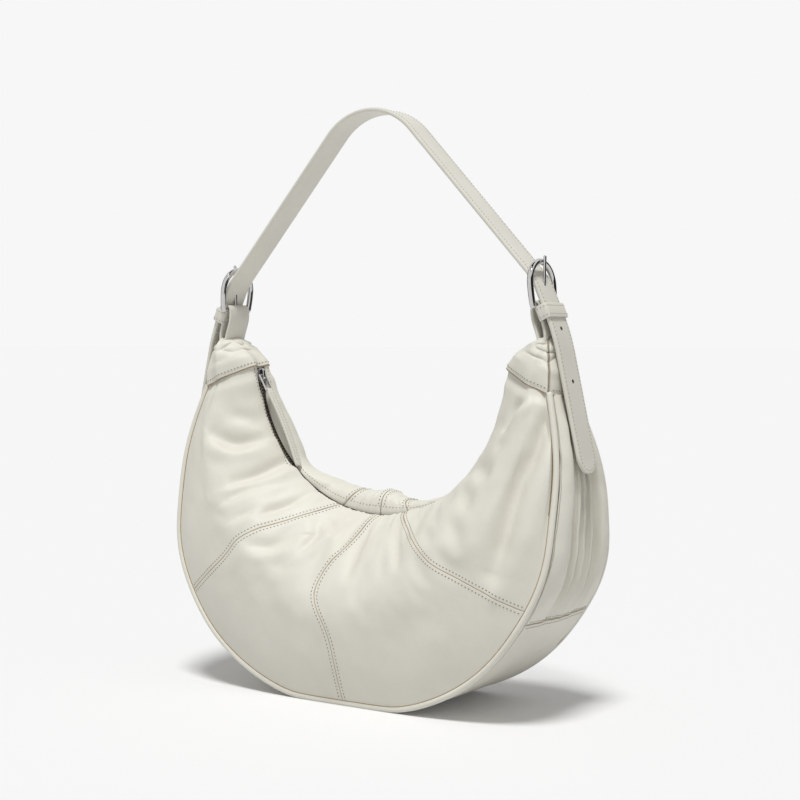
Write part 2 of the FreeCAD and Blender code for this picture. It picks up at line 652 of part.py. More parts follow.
tilt = math.radians(s.bend_tilt)
run_way = (math.sin(tilt), -math.cos(tilt))
run_out = (math.cos(tilt), math.sin(tilt))
leg_end = strap_side(0)[2]
bend_start = moved(leg_end, leg_way, s.bend_join)
tail_pivot = moved(bend_knee, run_way, s.bend_second)
turn_half = (math.pi / 2 - lean - tilt) / 2
bend_corners = []
for offset in (half_strap, -half_strap):
    knee = moved(moved(bend_knee, leg_out, offset), leg_way, offset * math.tan(turn_half))
    stop = moved(moved(tail_pivot, run_out, offset), run_way, -half_strap - s.tail_clear)
    bend_corners.append((moved(bend_start, leg_out, offset), knee, stop))
ring = bend_corners[0] + bend_corners[1][::-1]
bend = padded("bend", [line(a, b) for a, b in zip(ring, ring[1:] + ring[:1])], "sizes.strap_width")
slot_middle = moved(bend_knee, run_way, s.prong_slot_place)
slot = box("prong_slot", tilted(slot_middle[0], slot_middle[1], -s.bend_tilt), "4 * sizes.strap_thickness",
           "sizes.prong_slot_width", "sizes.prong_slot_length", "-2 * sizes.strap_thickness",
           "-sizes.prong_slot_width / 2", "-sizes.prong_slot_length / 2")
hole_middle = moved(bend_knee, run_way, s.hole_upper)
hole_place = (tilted(hole_middle[0], hole_middle[1], -s.bend_tilt)
              * FreeCAD.Placement(V(-s.strap_thickness, 0, 0), along_link))
upper_hole = rod("upper_hole", hole_place, "sizes.hole_radius", "2 * sizes.strap_thickness")
right_bend = keep(cut("right_strap_end", bend, fused("bend_holes", [slot, upper_hole])), "right_strap_end")
mirrored("left_strap_end", right_bend, LEFT_RIGHT)

tail_place = tilted(tail_pivot[0], tail_pivot[1], -s.tail_tilt)
half_tail = "sizes.strap_thickness / 2"
tail_blade = box("tail_blade", tail_place, "sizes.strap_thickness", "sizes.strap_width",
                 "sizes.tail_length - sizes.strap_width / 2", "-" + half_tail, "-sizes.strap_width / 2",
                 "-sizes.tail_length + sizes.strap_width / 2")
tip_place = tail_place * FreeCAD.Placement(V(-half_strap, 0, s.strap_width / 2 - s.tail_length), along_link)
tail_tip = rod("tail_tip", tip_place, "sizes.strap_width / 2", "sizes.strap_thickness")
nose_place = tail_place * FreeCAD.Placement(V(0, -s.strap_width / 2, 0), across_link)
tail_nose = rod("tail_nose", nose_place, half_tail, "sizes.strap_width")
hole_place = tail_place * FreeCAD.Placement(V(-s.strap_thickness, 0, -s.hole_lower), along_link)
lower_hole = rod("lower_hole", hole_place, "sizes.hole_radius", "2 * sizes.strap_thickness")
right_tail = keep(cut("right_strap_tail", fused("tail_body", [tail_blade, tail_tip, tail_nose]),
                      lower_hole), "right_strap_tail")
mirrored("left_strap_tail", right_tail, LEFT_RIGHT)


# Chape: a strip folded over the buckle bar with both ends sewn into the horn cap.

fold_in = s.bar_radius + s.bar_clear
fold_out = fold_in + s.chape_thickness
half_chape = s.chape_thickness / 2
inner_foot = (s.slot_x + s.chape_shift - s.chape_spread, s.chape_end)
outer_foot = (s.slot_x + s.chape_shift + s.chape_spread, s.chape_end)
knee = (s.slot_x + s.knee_out, s.horn_top + s.knee_rise)
bow = (s.slot_x - s.bow_in, s.horn_top + s.bow_rise)


def beside(point, offset):
    return point[0] + offset, point[1]


chape_edges = [
    line(beside(inner_foot, -half_chape), beside(bow, -half_chape)),
    line(beside(bow, -half_chape), beside(bar, -fold_out)),
    arc(beside(bar, -fold_out), moved(bar, (0, 1), fold_out), beside(bar, fold_out)),
    line(beside(bar, fold_out), beside(knee, half_chape)),
    line(beside(knee, half_chape), beside(outer_foot, half_chape)),
    line(beside(outer_foot, half_chape), beside(outer_foot, -half_chape)),
    line(beside(outer_foot, -half_chape), beside(knee, -half_chape)),
    line(beside(knee, -half_chape), beside(bar, fold_in)),
    arc(beside(bar, fold_in), moved(bar, (0, 1), fold_in), beside(bar, -fold_in)),
    line(beside(bar, -fold_in), beside(bow, half_chape)),
    line(beside(bow, half_chape), beside(inner_foot, half_chape)),
    line(beside(inner_foot, half_chape), beside(inner_foot, -half_chape)),
]
chape_strip = padded("chape_strip", chape_edges, "sizes.chape_width")
chape_hole = box("chape_hole", tilted(bar[0], bar[1], 0), "4 * sizes.prong_ring", "sizes.chape_slot",
                 "4 * sizes.prong_ring", "-2 * sizes.prong_ring", "-sizes.chape_slot / 2",
                 "-sizes.prong_ring - sizes.bar_clear")
right_chape = keep(cut("right_chape", chape_strip, chape_hole), "right_chape")
mirrored("left_chape", right_chape, LEFT_RIGHT)


# Buckle: horseshoe frame, bar and prong.

frame_place = tilted(bar[0], bar[1], -s.frame_lean)
frame_way = (-math.sin(math.radians(s.frame_lean)), math.cos(math.radians(s.frame_lean)))
strap_room = half_strap + s.frame_wire + s.frame_clear
strap_room += (bend_knee[0] - bar[0]) * leg_out[0] + (bend_knee[1] - bar[1]) * leg_out[1]
edge_height = strap_room / (frame_way[0] * leg_out[0] + frame_way[1] * leg_out[1])
shoulder_height = edge_height - math.sqrt(s.frame_half ** 2 - (s.strap_width / 2) ** 2)
frame_length = shoulder_height + s.frame_half
arch = doc.addObject("Part::Torus", "frame_arch")
bind(arch, Radius1="sizes.frame_half", Radius2="sizes.frame_wire", Angle3="180")
arch.Placement = frame_place * FreeCAD.Placement(
    V(0, 0, shoulder_height), FreeCAD.Rotation(V(0, 1, 0), V(0, 0, 1), V(1, 0, 0)))
leg_turn = math.asin(shoulder_height / s.frame_sweep)
foot_half = s.frame_half - s.frame_sweep * (1 - math.cos(leg_turn))
frame_pieces = [arch]
for side in (-1, 1):
    leg = doc.addObject("Part::Torus", "frame_leg")
    bind(leg, Radius1="sizes.frame_sweep", Radius2="sizes.frame_wire")
    leg.Angle3 = math.degrees(leg_turn)
    leg.Placement = frame_place * FreeCAD.Placement(
        V(0, side * (s.frame_half - s.frame_sweep), shoulder_height),
        FreeCAD.Rotation(V(0, side, 0), V(0, 0, -1), V(-side, 0, 0)))
    frame_pieces.append(leg)
    ball = doc.addObject("Part::Sphere", "frame_foot")
    bind(ball, Radius="sizes.frame_wire")
    ball.Placement = frame_place * FreeCAD.Placement(V(0, side * foot_half, 0), FreeCAD.Rotation())
    frame_pieces.append(ball)
bar_hole_place = frame_place * FreeCAD.Placement(V(0, -s.bar_half - s.bar_fit, 0), across_link)
bar_hole = rod("bar_hole", bar_hole_place, "sizes.bar_radius + sizes.bar_fit",
               "2 * (sizes.bar_half + sizes.bar_fit)")
right_frame = keep(cut("right_buckle_frame", fused("frame_body", frame_pieces), bar_hole),
                   "right_buckle_frame")
mirrored("left_buckle_frame", right_frame, LEFT_RIGHT)
bar_place = frame_place * FreeCAD.Placement(V(0, -s.bar_half, 0), across_link)
right_bar = keep(rod("right_buckle_bar", bar_place, "sizes.bar_radius", "2 * sizes.bar_half"),
                 "right_buckle_bar")
mirrored("left_buckle_bar", right_bar, LEFT_RIGHT)

crown_gap = s.frame_wire + s.prong_radius + s.prong_rest_gap
prong_out = math.degrees(math.asin(crown_gap / frame_length))
prong_length = frame_length + s.prong_over
prong_place = frame_place * FreeCAD.Placement(V(0, 0, 0), FreeCAD.Rotation(FRONT_BACK, prong_out))
eye_place = frame_place * FreeCAD.Placement(V(0, -s.prong_eye_width / 2, 0), across_link)
prong_eye = rod("prong_eye", eye_place, "sizes.prong_ring", "sizes.prong_eye_width")
prong_rod = doc.addObject("Part::Cylinder", "prong_rod")
bind(prong_rod, Radius="sizes.prong_radius")
prong_rod.Height = prong_length
prong_rod.Placement = prong_place
prong_tip = doc.addObject("Part::Sphere", "prong_tip")
bind(prong_tip, Radius="sizes.prong_radius")
prong_tip.Placement = prong_place * FreeCAD.Placement(V(0, 0, prong_length), FreeCAD.Rotation())
eye_hole_place = frame_place * FreeCAD.Placement(V(0, -s.prong_eye_width, 0), across_link)
eye_hole = rod("prong_eye_hole", eye_hole_place, "sizes.bar_radius + sizes.bar_clear",
               "2 * sizes.prong_eye_width")
right_prong = keep(cut("right_prong", fused("prong_body", [prong_eye, prong_rod, prong_tip]), eye_hole),
                   "right_prong")
mirrored("left_prong", right_prong, LEFT_RIGHT)


# Keeper: a leather loop round the strap end and the outer chape leg.

keeper_middle = moved(bend_knee, run_way, s.keeper_place)
keeper_place = tilted(keeper_middle[0], keeper_middle[1], -s.bend_tilt)
loop_depth = "(sizes.keeper_inner + sizes.keeper_outer)"
loop_width = "(sizes.strap_width + 2 * sizes.keeper_side)"
loop_out = box("keeper_block", keeper_place, loop_depth + " + 2 * sizes.keeper_wall",
               loop_width + " + 2 * sizes.keeper_wall", "sizes.keeper_height",
               "-sizes.keeper_inner - sizes.keeper_wall", "-%s / 2 - sizes.keeper_wall" % loop_width,
               "-sizes.keeper_height / 2")
doc.recompute()
loop_round = doc.addObject("Part::Fillet", "keeper_round")
loop_round.Base = loop_out
axis = keeper_place.Rotation.multVec(V(0, 0, 1))
upright = [number for number, edge in enumerate(loop_out.Shape.Edges, start=1)
           if abs(edge.tangentAt(edge.FirstParameter).dot(axis)) > math.cos(math.pi / 8)]
loop_round.Edges = [(number, s.keeper_round, s.keeper_round) for number in upright]
loop_in = box("keeper_opening", keeper_place, loop_depth, loop_width,
              "sizes.keeper_height + 2 * sizes.overrun", "-sizes.keeper_inner", "-%s / 2" % loop_width,
              "-sizes.keeper_height / 2 - sizes.overrun")
right_keeper = keep(cut("right_keeper", loop_round, loop_in), "right_keeper")
mirrored("left_keeper", right_keeper, LEFT_RIGHT)

doc.recompute()
for obj in doc.Objects:
    if "Invalid" in obj.State or "Error" in obj.State:
        raise RuntimeError("%s did not compute: %s" % (obj.Label, obj.State))
os.makedirs("parts", exist_ok=True)
for obj in NODES:
    if obj.Shape.isNull() or not obj.Shape.isValid():
        raise RuntimeError("%s has no valid shape" % obj.Label)
    obj.Shape.exportStep("parts/%s.step" % obj.Label)
    print("%-24s %9.1f mm3" % (obj.Label, obj.Shape.Volume))
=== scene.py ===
import math

import bpy
import numpy as np
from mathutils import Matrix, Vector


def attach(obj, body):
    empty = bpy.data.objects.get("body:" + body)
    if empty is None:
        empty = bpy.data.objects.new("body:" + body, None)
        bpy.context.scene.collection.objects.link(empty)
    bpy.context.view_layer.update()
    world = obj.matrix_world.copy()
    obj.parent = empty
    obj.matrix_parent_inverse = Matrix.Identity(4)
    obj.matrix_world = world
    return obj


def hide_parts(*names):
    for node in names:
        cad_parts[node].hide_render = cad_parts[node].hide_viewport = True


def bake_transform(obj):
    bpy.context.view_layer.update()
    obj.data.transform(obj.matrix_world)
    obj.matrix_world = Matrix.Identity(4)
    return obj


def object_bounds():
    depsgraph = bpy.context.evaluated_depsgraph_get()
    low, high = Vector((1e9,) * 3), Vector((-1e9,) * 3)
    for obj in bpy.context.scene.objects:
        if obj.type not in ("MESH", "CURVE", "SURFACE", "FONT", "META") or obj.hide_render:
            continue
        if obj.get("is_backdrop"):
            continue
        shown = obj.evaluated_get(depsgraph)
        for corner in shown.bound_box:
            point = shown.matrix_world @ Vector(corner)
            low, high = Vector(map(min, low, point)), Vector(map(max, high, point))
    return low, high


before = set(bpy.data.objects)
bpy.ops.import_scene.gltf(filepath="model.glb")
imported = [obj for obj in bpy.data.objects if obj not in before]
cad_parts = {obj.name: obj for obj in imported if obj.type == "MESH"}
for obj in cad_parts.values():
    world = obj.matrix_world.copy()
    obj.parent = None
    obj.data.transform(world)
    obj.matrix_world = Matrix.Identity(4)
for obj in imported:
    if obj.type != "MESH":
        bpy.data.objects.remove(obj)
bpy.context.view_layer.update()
MM = 0.001

# Sizes in millimetres, the same as the solids.
HALF_WIDTH, BELLY_HEIGHT, CAP_HEIGHT, CAP_INSET = 169.0, 131.0, 235.0, 13.0
BASE_DEPTH, CAP_DEPTH, TAPER_START, TAPER_POWER = 96.0, 36.0, 39.0, 1.6
BACK_SAG = 8.0
ZIP_RADIUS, ZIP_HEIGHT, ZIP_ANGLE, SLIDER_ANGLE = 120.0, 256.0, 88.0, 84.4
LOWER_SHARE = 0.69
PIPING_RADIUS = 2.3
HORN_TOP, SLOT_X, SLOT_LENGTH, SLOT_WIDTH = 272.5, 147.0, 6.0, 13.0
STRAP_WIDTH, STRAP_THICK, STRAP_ROUND = 25.0, 3.0, 1.1
CROWN_RADIUS, CROWN_HEIGHT = 51.0, 395.2
TILT, TAIL_TILT = math.radians(24.1), math.radians(12.5)
BAR = np.array((142.5, 296.5))
KNEE = BAR + (-2.38, 19.75)
RUN_WAY = np.array((math.sin(TILT), -math.cos(TILT)))
RUN_OUT = np.array((math.cos(TILT), math.sin(TILT)))
TAIL_WAY = np.array((math.sin(TAIL_TILT), -math.cos(TAIL_TILT)))
PIVOT = KNEE + RUN_WAY * 42.0
KEEPER = KNEE + RUN_WAY * 29.0
TAIL_LENGTH, TAIL_ROUND, HOLE_RADIUS = 102.0, 12.5, 1.5
LINK_LENGTH, LINK_LIFT = 14.0, math.radians(25)
PULL_LENGTH, PULL_WIDTH, PULL_THICK = 68.0, 6.4, 2.4
CHAPE_FOOT, CHAPE_BEND, CHAPE_WIDTH, CHAPE_THICK = 264.5, 3.05, 23.6, 2.1
KEEPER_LOW, KEEPER_HIGH, KEEPER_HALF, KEEPER_CORNER = -6.0, 2.6, 13.7, 2.0

# Sewing: stitch rows beside seams, at the mouth in front and behind, and beside strap edges.
SEAM_STITCH, MOUTH_STITCH, STRAP_STITCH = 2.7, {False: 2.7, True: 2.0}, 2.4
STITCH_EDGE = STRAP_WIDTH / 2 - STRAP_STITCH
# Layers under a panel's face: hem, zip tape and lining.
HEM_UNDER, TAPE_UNDER, LINING_UNDER = 2.1, 3.4, 4.2
HEM_ACROSS = (0.995, 0.988, 0.98, 0.972)
SIDES = ((False, "front", -1), (True, "back", 1))
ENDS = ((-1, "left"), (1, "right"))


# ---- small maths helpers

def smooth(low, high, x):
    """Smooth step from 0 at low to 1 at high."""
    x = np.clip((np.asarray(x, float) - low) / (high - low), 0, 1)
    return x * x * (3 - 2 * x)


def spline_matrix(knots, t, periodic=False):
    """Rows of weights that turn values at the knots into a cubic spline at t."""
    knots, t = np.asarray(knots, float), np.asarray(t, float)
    n = len(knots) - (1 if periodic else 0)
    h = np.diff(knots)
    a, b = np.zeros((n, n)), np.zeros((n, n))
    for i in range(n):
        if not periodic and i in (0, n - 1):
            a[i, i] = 1
            continue
        left, right = h[i - 1], h[i % len(h)]
        before, after = (i - 1) % n, (i + 1) % n
        a[i, before] += left
        a[i, i] += 2 * (left + right)
        a[i, after] += right
        b[i, before] += 6 / left
        b[i, i] -= 6 / left + 6 / right
        b[i, after] += 6 / right
    bend = np.linalg.solve(a, b)
    k = np.clip(np.searchsorted(knots, t, side="right") - 1, 0, len(h) - 1)
    step = h[k]
    x = (t - knots[k]) / step
    rows = np.zeros((len(t), n))
    here = np.arange(len(t))
    near, far = k % n, (k + 1) % n
    np.add.at(rows, (here, near), 1 - x)
    np.add.at(rows, (here, far), x)
    low = ((1 - x) ** 3 - (1 - x)) * step ** 2 / 6
    high = (x ** 3 - x) * step ** 2 / 6
    return rows + low[:, None] * bend[near] + high[:, None] * bend[far]


def reach_along(line):
    """Distance of each point from the start of a line, measured along it."""
    return np.concatenate(([0], np.cumsum(np.linalg.norm(np.diff(line, axis=0), axis=1))))


def curve(points, count):
    """Smooth line through points, count points evenly spaced along it."""
    points = np.asarray(points, float)
    reach = reach_along(points)
    fine = np.linspace(0, reach[-1], 12 * len(points))
    return even(spline_matrix(reach, fine) @ points, count)


def even(line, count):
    """The same line with count points evenly spaced along it."""
    reach = reach_along(line)
    at = np.linspace(0, reach[-1], count)
    return np.stack([np.interp(at, reach, line[:, k]) for k in range(line.shape[1])], -1)


def unit(v):
    return v / np.maximum(np.linalg.norm(v, axis=-1, keepdims=True), 1e-12)


def along_line(line):
    return unit(np.gradient(line, axis=0))


def grid_normals(grid):
    return unit(np.cross(np.gradient(grid, axis=0), np.gradient(grid, axis=1)))


def grid_of(u, v):
    """Two rows of places as a full grid."""
    return np.meshgrid(u, v, indexing="ij")


def noise(x, y, seed):
    """Smooth repeatable noise in -1..1 over a plane."""
    size = 64
    table = np.random.default_rng(seed).random((size, size)) * 2 - 1
    x, y = np.asarray(x, float), np.asarray(y, float)
    i, j = np.floor(x).astype(int), np.floor(y).astype(int)
    u, v = x - i, y - j
    u, v = u * u * (3 - 2 * u), v * v * (3 - 2 * v)
    get = lambda p, q: table[p % size, q % size]
    low = get(i, j) * (1 - u) + get(i + 1, j) * u
    high = get(i, j + 1) * (1 - u) + get(i + 1, j + 1) * u
    return low * (1 - v) + high * v


def cubic_sample(grid, u, v):
    """Catmull-Rom reading of a grid at fractional places."""
    n, m = grid.shape[:2]
    u, v = np.clip(u, 0, n - 1.0001), np.clip(v, 0, m - 1.0001)
    i, j = np.floor(u).astype(int), np.floor(v).astype(int)

    def weights(f):
        return np.stack(((-f + 2 * f ** 2 - f ** 3) / 2, (2 - 5 * f ** 2 + 3 * f ** 3) / 2,
                         (f + 4 * f ** 2 - 3 * f ** 3) / 2, (f ** 3 - f ** 2) / 2), 0)

    wu, wv = weights(u - i), weights(v - j)
    out = 0
    for p in range(4):
        for q in range(4):
            part = grid[np.clip(i + p - 1, 0, n - 1), np.clip(j + q - 1, 0, m - 1)]
            out = out + part * (wu[p] * wv[q])[..., None]
    return out


# ---- mesh building

def add_object(name, data):
    obj = bpy.data.objects.new(name, data)
    bpy.context.scene.collection.objects.link(obj)
    return obj


class Mesh:
    """Collects faces of several materials for one piece."""

    def __init__(self):
        self.verts, self.faces, self.mats, self.count = [], [], [], 0

    def add(self, verts, faces, mat=0):
        verts = np.asarray(verts, float).reshape(-1, 3)
        self.verts.append(verts)
        self.faces += [tuple(int(k) + self.count for k in f) for f in faces]
        self.mats += [mat] * len(faces)
        self.count += len(verts)

    def build(self, name, materials):
        mesh = bpy.data.meshes.new(name)
        mesh.from_pydata((np.vstack(self.verts) * MM).tolist(), [], self.faces)
        for m in materials:
            mesh.materials.append(m)
        mesh.polygons.foreach_set("material_index", self.mats)
        mesh.polygons.foreach_set("use_smooth", [True] * len(self.faces))
        mesh.validate()
        mesh.update()
        return add_object(name, mesh)


def grid_faces(n, m, wrap_n=False, wrap_m=False, flip=False):
    """Quads between the points of an n by m grid."""
    i, j = grid_of(np.arange(n if wrap_n else n - 1), np.arange(m if wrap_m else m - 1))
    i, j = i.ravel(), j.ravel()
    i2, j2 = (i + 1) % n, (j + 1) % m
    quads = np.stack((i * m + j, i2 * m + j, i2 * m + j2, i * m + j2), -1)
    return quads[:, ::-1] if flip else quads


# Steps of the rounded edge of a sheet.
HEM = np.radians((30.0, 60.0, 90.0))


def hem_rows(grid, normals, radius, gap):
    """Adds rounded rows at the first and last row of a grid: flat places and drops."""
    ends = []
    for edge, inner in ((0, 1), (-1, -2)):
        out = unit(grid[edge] - grid[inner])
        out = unit(out - normals[edge] * (out * normals[edge]).sum(-1, keepdims=True))
        grid[edge] = grid[edge] - out * (radius + gap)
        ends.append([(grid[edge] + out * radius * math.sin(t), radius * (1 - math.cos(t)))
                     for t in HEM])
    first, last = ends[0][::-1], ends[1]
    flat = np.concatenate(([f for f, d in first], grid, [f for f, d in last]))
    side = np.concatenate(([normals[0]] * 3, normals, [normals[-1]] * 3))
    drop = np.concatenate(([d for f, d in first], np.zeros(len(grid)), [d for f, d in last]))
    return flat, side, drop


def leather(mesh, grid, thick=1.8, radius=0.9, gaps=(0.15, 0.15), flip=False):
    """Closed sheet with rounded edges; the grid is its outer face."""
    normals = grid_normals(grid) * (-1 if flip else 1)
    flat, side, drop_u = hem_rows(grid.copy(), normals, radius, gaps[0])
    flat, side, drop_v = hem_rows(flat.swapaxes(0, 1).copy(), side.swapaxes(0, 1), radius, gaps[1])
    flat, side = flat.swapaxes(0, 1), side.swapaxes(0, 1)
    drop = np.maximum(drop_u[:, None], drop_v[None, :])[..., None]
    n, m = flat.shape[:2]
    top, under = flat - side * drop, flat - side * thick
    faces = [grid_faces(n, m, flip=flip), grid_faces(n, m, flip=not flip) + n * m]
    ring = np.concatenate((np.arange(m), np.arange(1, n) * m + m - 1,
                           (n - 1) * m + np.arange(m - 1)[::-1], np.arange(1, n - 1)[::-1] * m))
    nxt = np.roll(ring, -1)
    rim = np.stack((ring, nxt, nxt + n * m, ring + n * m), -1)
    faces.append(rim[:, ::-1] if flip else rim)
    mesh.add(np.stack((top, under)), np.concatenate(faces))
    return mesh


def sweep(mesh, line, side, up, section, mat=0, closed=False):
    """Section (points of width and height) carried along a line with its own axes."""
    section = np.asarray(section, float)
    if section.ndim == 2:
        section = np.repeat(section[None], len(line), 0)
    rows = line[:, None] + side[:, None] * section[..., :1] + up[:, None] * section[..., 1:]
    n, m = rows.shape[:2]
    faces = list(grid_faces(n, m, wrap_n=closed, wrap_m=True))
    verts = rows.reshape(-1, 3)
    if not closed:
        verts = np.vstack((verts, rows[0].mean(0), rows[-1].mean(0)))
        for k in range(m):
            faces.append((k, (k + 1) % m, n * m))
            faces.append(((n - 1) * m + (k + 1) % m, (n - 1) * m + k, n * m + 1))
    mesh.add(verts, faces, mat)


def strip_axes(line):
    """Direction, width and face directions of a strip along a line of the front view."""
    way = along_line(line)
    side = np.repeat(np.array((0, 1.0, 0))[None], len(line), 0)
    return way, side, np.cross(way, side)


def round_box(width, height, radius, steps=4):
    """Section of a flat strip with rounded corners."""
    points = []
    for k, (sx, sy) in enumerate(((1, 1), (-1, 1), (-1, -1), (1, -1))):
        for t in np.linspace(0, np.pi / 2, steps):
            turn = k * np.pi / 2 + t
            points.append((sx * (width / 2 - radius) + radius * np.cos(turn),
                           sy * (height / 2 - radius) + radius * np.sin(turn)))
    return np.array(points)


def flat_section(width, height, radius, count=22):
    """Strip section with points across its flat faces as well."""
    corners = round_box(width, height, radius)
    shares = np.linspace(0, 1, count + 1)[1:-1, None]
    top = corners[3] + (corners[4] - corners[3]) * shares
    low = corners[11] + (corners[12] - corners[11]) * shares
    return np.vstack((corners[:4], top, corners[4:12], low, corners[12:]))


def ring_section(radius, count):
    turn = np.arange(count) * 2 * np.pi / count
    return np.stack((radius * np.cos(turn), radius * np.sin(turn)), -1)


def tube(mesh, line, radius, count, mat=0, hint=(0, 1, 0)):
    """Round cord along a line; hint is a direction that the line never takes."""
    way = along_line(line)
    side = unit(np.cross(way, np.asarray(hint, float)))
    up = np.cross(side, way)
    sweep(mesh, line, side, up, ring_section(radius, count), mat)


def stitch_row(mesh, line, normal, mat, pitch=2.8, length=1.6, radius=0.36, lift=0.05):
    """Row of single stitches lying on a surface along a line."""
    reach = reach_along(line)
    count = max(int(reach[-1] / pitch), 1)
    middle = (np.arange(count) + 0.5) * reach[-1] / count
    pick = lambda values, at: np.stack([np.interp(at, reach, values[:, k]) for k in range(3)], -1)
    up = unit(pick(normal, middle))
    ahead, behind = pick(line, middle + length / 2), pick(line, middle - length / 2)
    way = unit(ahead - behind)
    side = np.cross(up, way)
    profile = ((-0.5, 0.0), (-0.32, 0.9), (0.0, 1.0), (0.32, 0.9), (0.5, 0.0))
    around = np.arange(6) * np.pi / 3
    base = pick(line, middle) + up * lift
    verts = []
    for share, size in profile:
        sink = -radius * 1.6 * (1 - size)
        for turn in around:
            verts.append(base + way * share * length + up * (sink + radius * size * math.sin(turn))
                         + side * radius * size * math.cos(turn))
    faces = grid_faces(len(profile), 6, wrap_m=True, flip=True)
    every = (faces[None] + (np.arange(count) * len(profile) * 6)[:, None, None]).reshape(-1, 4)
    mesh.add(np.stack(verts, 1), every, mat)


# ---- materials

def material(name):
    m = bpy.data.materials.new(name)
    m.use_nodes = True
    return m, m.node_tree.nodes, m.node_tree.links, m.node_tree.nodes["Principled BSDF"]


def set_inputs(node, **values):
    """Sets constants on a node's own sockets."""
    for key, value in values.items():
        node.inputs[key.replace("_", " ")].default_value = value
    return node


class Finish:
    """A material and its nodes, patterned in object coordinates."""

    def __init__(self, name):
        self.material, self.nodes, self.links, self.shader = material(name)
        self.vector = self.nodes.new("ShaderNodeTexCoord").outputs["Object"]

    def join(self, value, socket):
        self.links.new(value, self.shader.inputs[socket])

    def node(self, kind, value, socket, **constants):
        """New node with a linked input and constant inputs."""
        node = set_inputs(self.nodes.new(kind), **constants)
        self.links.new(value, node.inputs[socket])
        return node

    def noise(self, scale, detail):
        return self.node("ShaderNodeTexNoise", self.vector, "Vector", Scale=scale, Detail=detail,
                         Roughness=0.55).outputs["Fac"]

    def colour(self, value, low, high, start=0.3, end=0.7):
        node = self.node("ShaderNodeValToRGB", value, "Fac")
        for stop, at, shade in zip(node.color_ramp.elements, (start, end), (low, high)):
            stop.position, stop.color = at, (*shade, 1)
        self.join(node.outputs["Color"], "Base Color")

    def rough(self, value, low, high):
        node = self.node("ShaderNodeMapRange", value, "Value", To_Min=low, To_Max=high)
        self.join(node.outputs["Result"], "Roughness")

    def bump(self, height, strength, distance, before=None):
        node = self.node("ShaderNodeBump", height, "Height", Strength=strength, Distance=distance)
        if before:
            self.links.new(before, node.inputs["Normal"])
        return node.outputs["Normal"]


def linear(*rgb):
    """Linear colour of display values."""
    return tuple(((c / 255 + 0.055) / 1.055) ** 2.4 for c in rgb)


def leather_material(name, low, high, rough, grain):
    f = Finish(name)
    f.colour(f.noise(22, 4), low, high)
    f.rough(f.noise(260, 3), *rough)
    cells = f.node("ShaderNodeTexVoronoi", f.vector, "Vector", Scale=950)
    cells.feature = "DISTANCE_TO_EDGE"
    soft = f.bump(f.noise(170, 3), 0.10, 0.0012)
    pores = f.bump(cells.outputs["Distance"], grain, 0.0003, soft)
    f.join(f.bump(f.noise(2600, 2), grain * 0.6, 0.0002, pores), "Normal")
    set_inputs(f.shader, Specular_IOR_Level=0.42)
    return f.material


def plain_material(name, low, high, scale, rough, bumpy=0.2, distance=0.0002, metal=0.0):
    f = Finish(name)
    value = f.noise(scale, 3)
    f.colour(value, low, high)
    f.rough(value, *rough)
    f.join(f.bump(value, bumpy, distance), "Normal")
    set_inputs(f.shader, Metallic=metal)
    return f.material


def woven_material(name, low, high, pitch, rough):
    f = Finish(name)
    both = f.nodes.new("ShaderNodeMath")
    both.operation = "MULTIPLY"
    waves = []
    for number, axis in enumerate("XZ"):
        wave = f.node("ShaderNodeTexWave", f.vector, "Vector", Scale=0.314 / pitch, Distortion=0.4)
        wave.bands_direction = axis
        waves.append(wave.outputs["Fac"])
        f.links.new(waves[-1], both.inputs[number])
    f.colour(both.outputs[0], low, high, 0.0, 1.0)
    f.rough(waves[0], *rough)
    f.join(f.bump(both.outputs[0], 0.4, pitch * 0.25), "Normal")
    return f.material


BODY = leather_material("body_leather_mat", linear(217, 214, 202), linear(224, 222, 210),
                        (0.47, 0.60), 0.16)
STRAP = leather_material("strap_leather_mat", linear(213, 210, 199), linear(220, 218, 207),
                         (0.44, 0.58), 0.22)
# Stitch thread: the thread's own tone darkened with painted shade of the needle holes, so the rows
# read as dots.
THREAD_WITH_HOLE_SHADE = plain_material("thread_and_hole_shade_mat", linear(126, 118, 102), linear(152, 143, 126), 900, (0.6, 0.8))
# Paler stitch thread for the strap, pull and back mouth, also darkened with painted shade of the
# needle holes.
PALE_THREAD_WITH_HOLE_SHADE = plain_material("pale_thread_and_hole_shade_mat", linear(166, 159, 142), linear(188, 181, 164), 900,
                             (0.6, 0.8))
# Brown lines sunk in the seam grooves: the seams' raw edges together with painted seam shadow.
SEAM = plain_material("seam_shadow_mat", linear(150, 122, 82), linear(172, 144, 104), 700,
                      (0.7, 0.9))
CHROME = plain_material("buckle_metal_mat", (0.55, 0.545, 0.54), (0.63, 0.62, 0.615), 400,
                        (0.05, 0.09), 0.02, 0.0001, 1.0)
NICKEL = plain_material("zip_metal_mat", (0.30, 0.29, 0.28), (0.46, 0.45, 0.43), 900,
                        (0.22, 0.38), 0.1, 0.0001, 1.0)
TAPE = woven_material("zip_tape_mat", linear(62, 52, 42), linear(96, 84, 70), 0.0007, (0.75, 0.9))
LINING = woven_material("lining_mat", linear(176, 165, 146), linear(202, 193, 176), 0.0009,
                        (0.7, 0.85))
HOLE = plain_material("hole_edge_mat", linear(84, 70, 54), linear(104, 90, 72), 500, (0.7, 0.9))


# ---- crescent sections: along is -1 at the left cap and 1 at the right cap

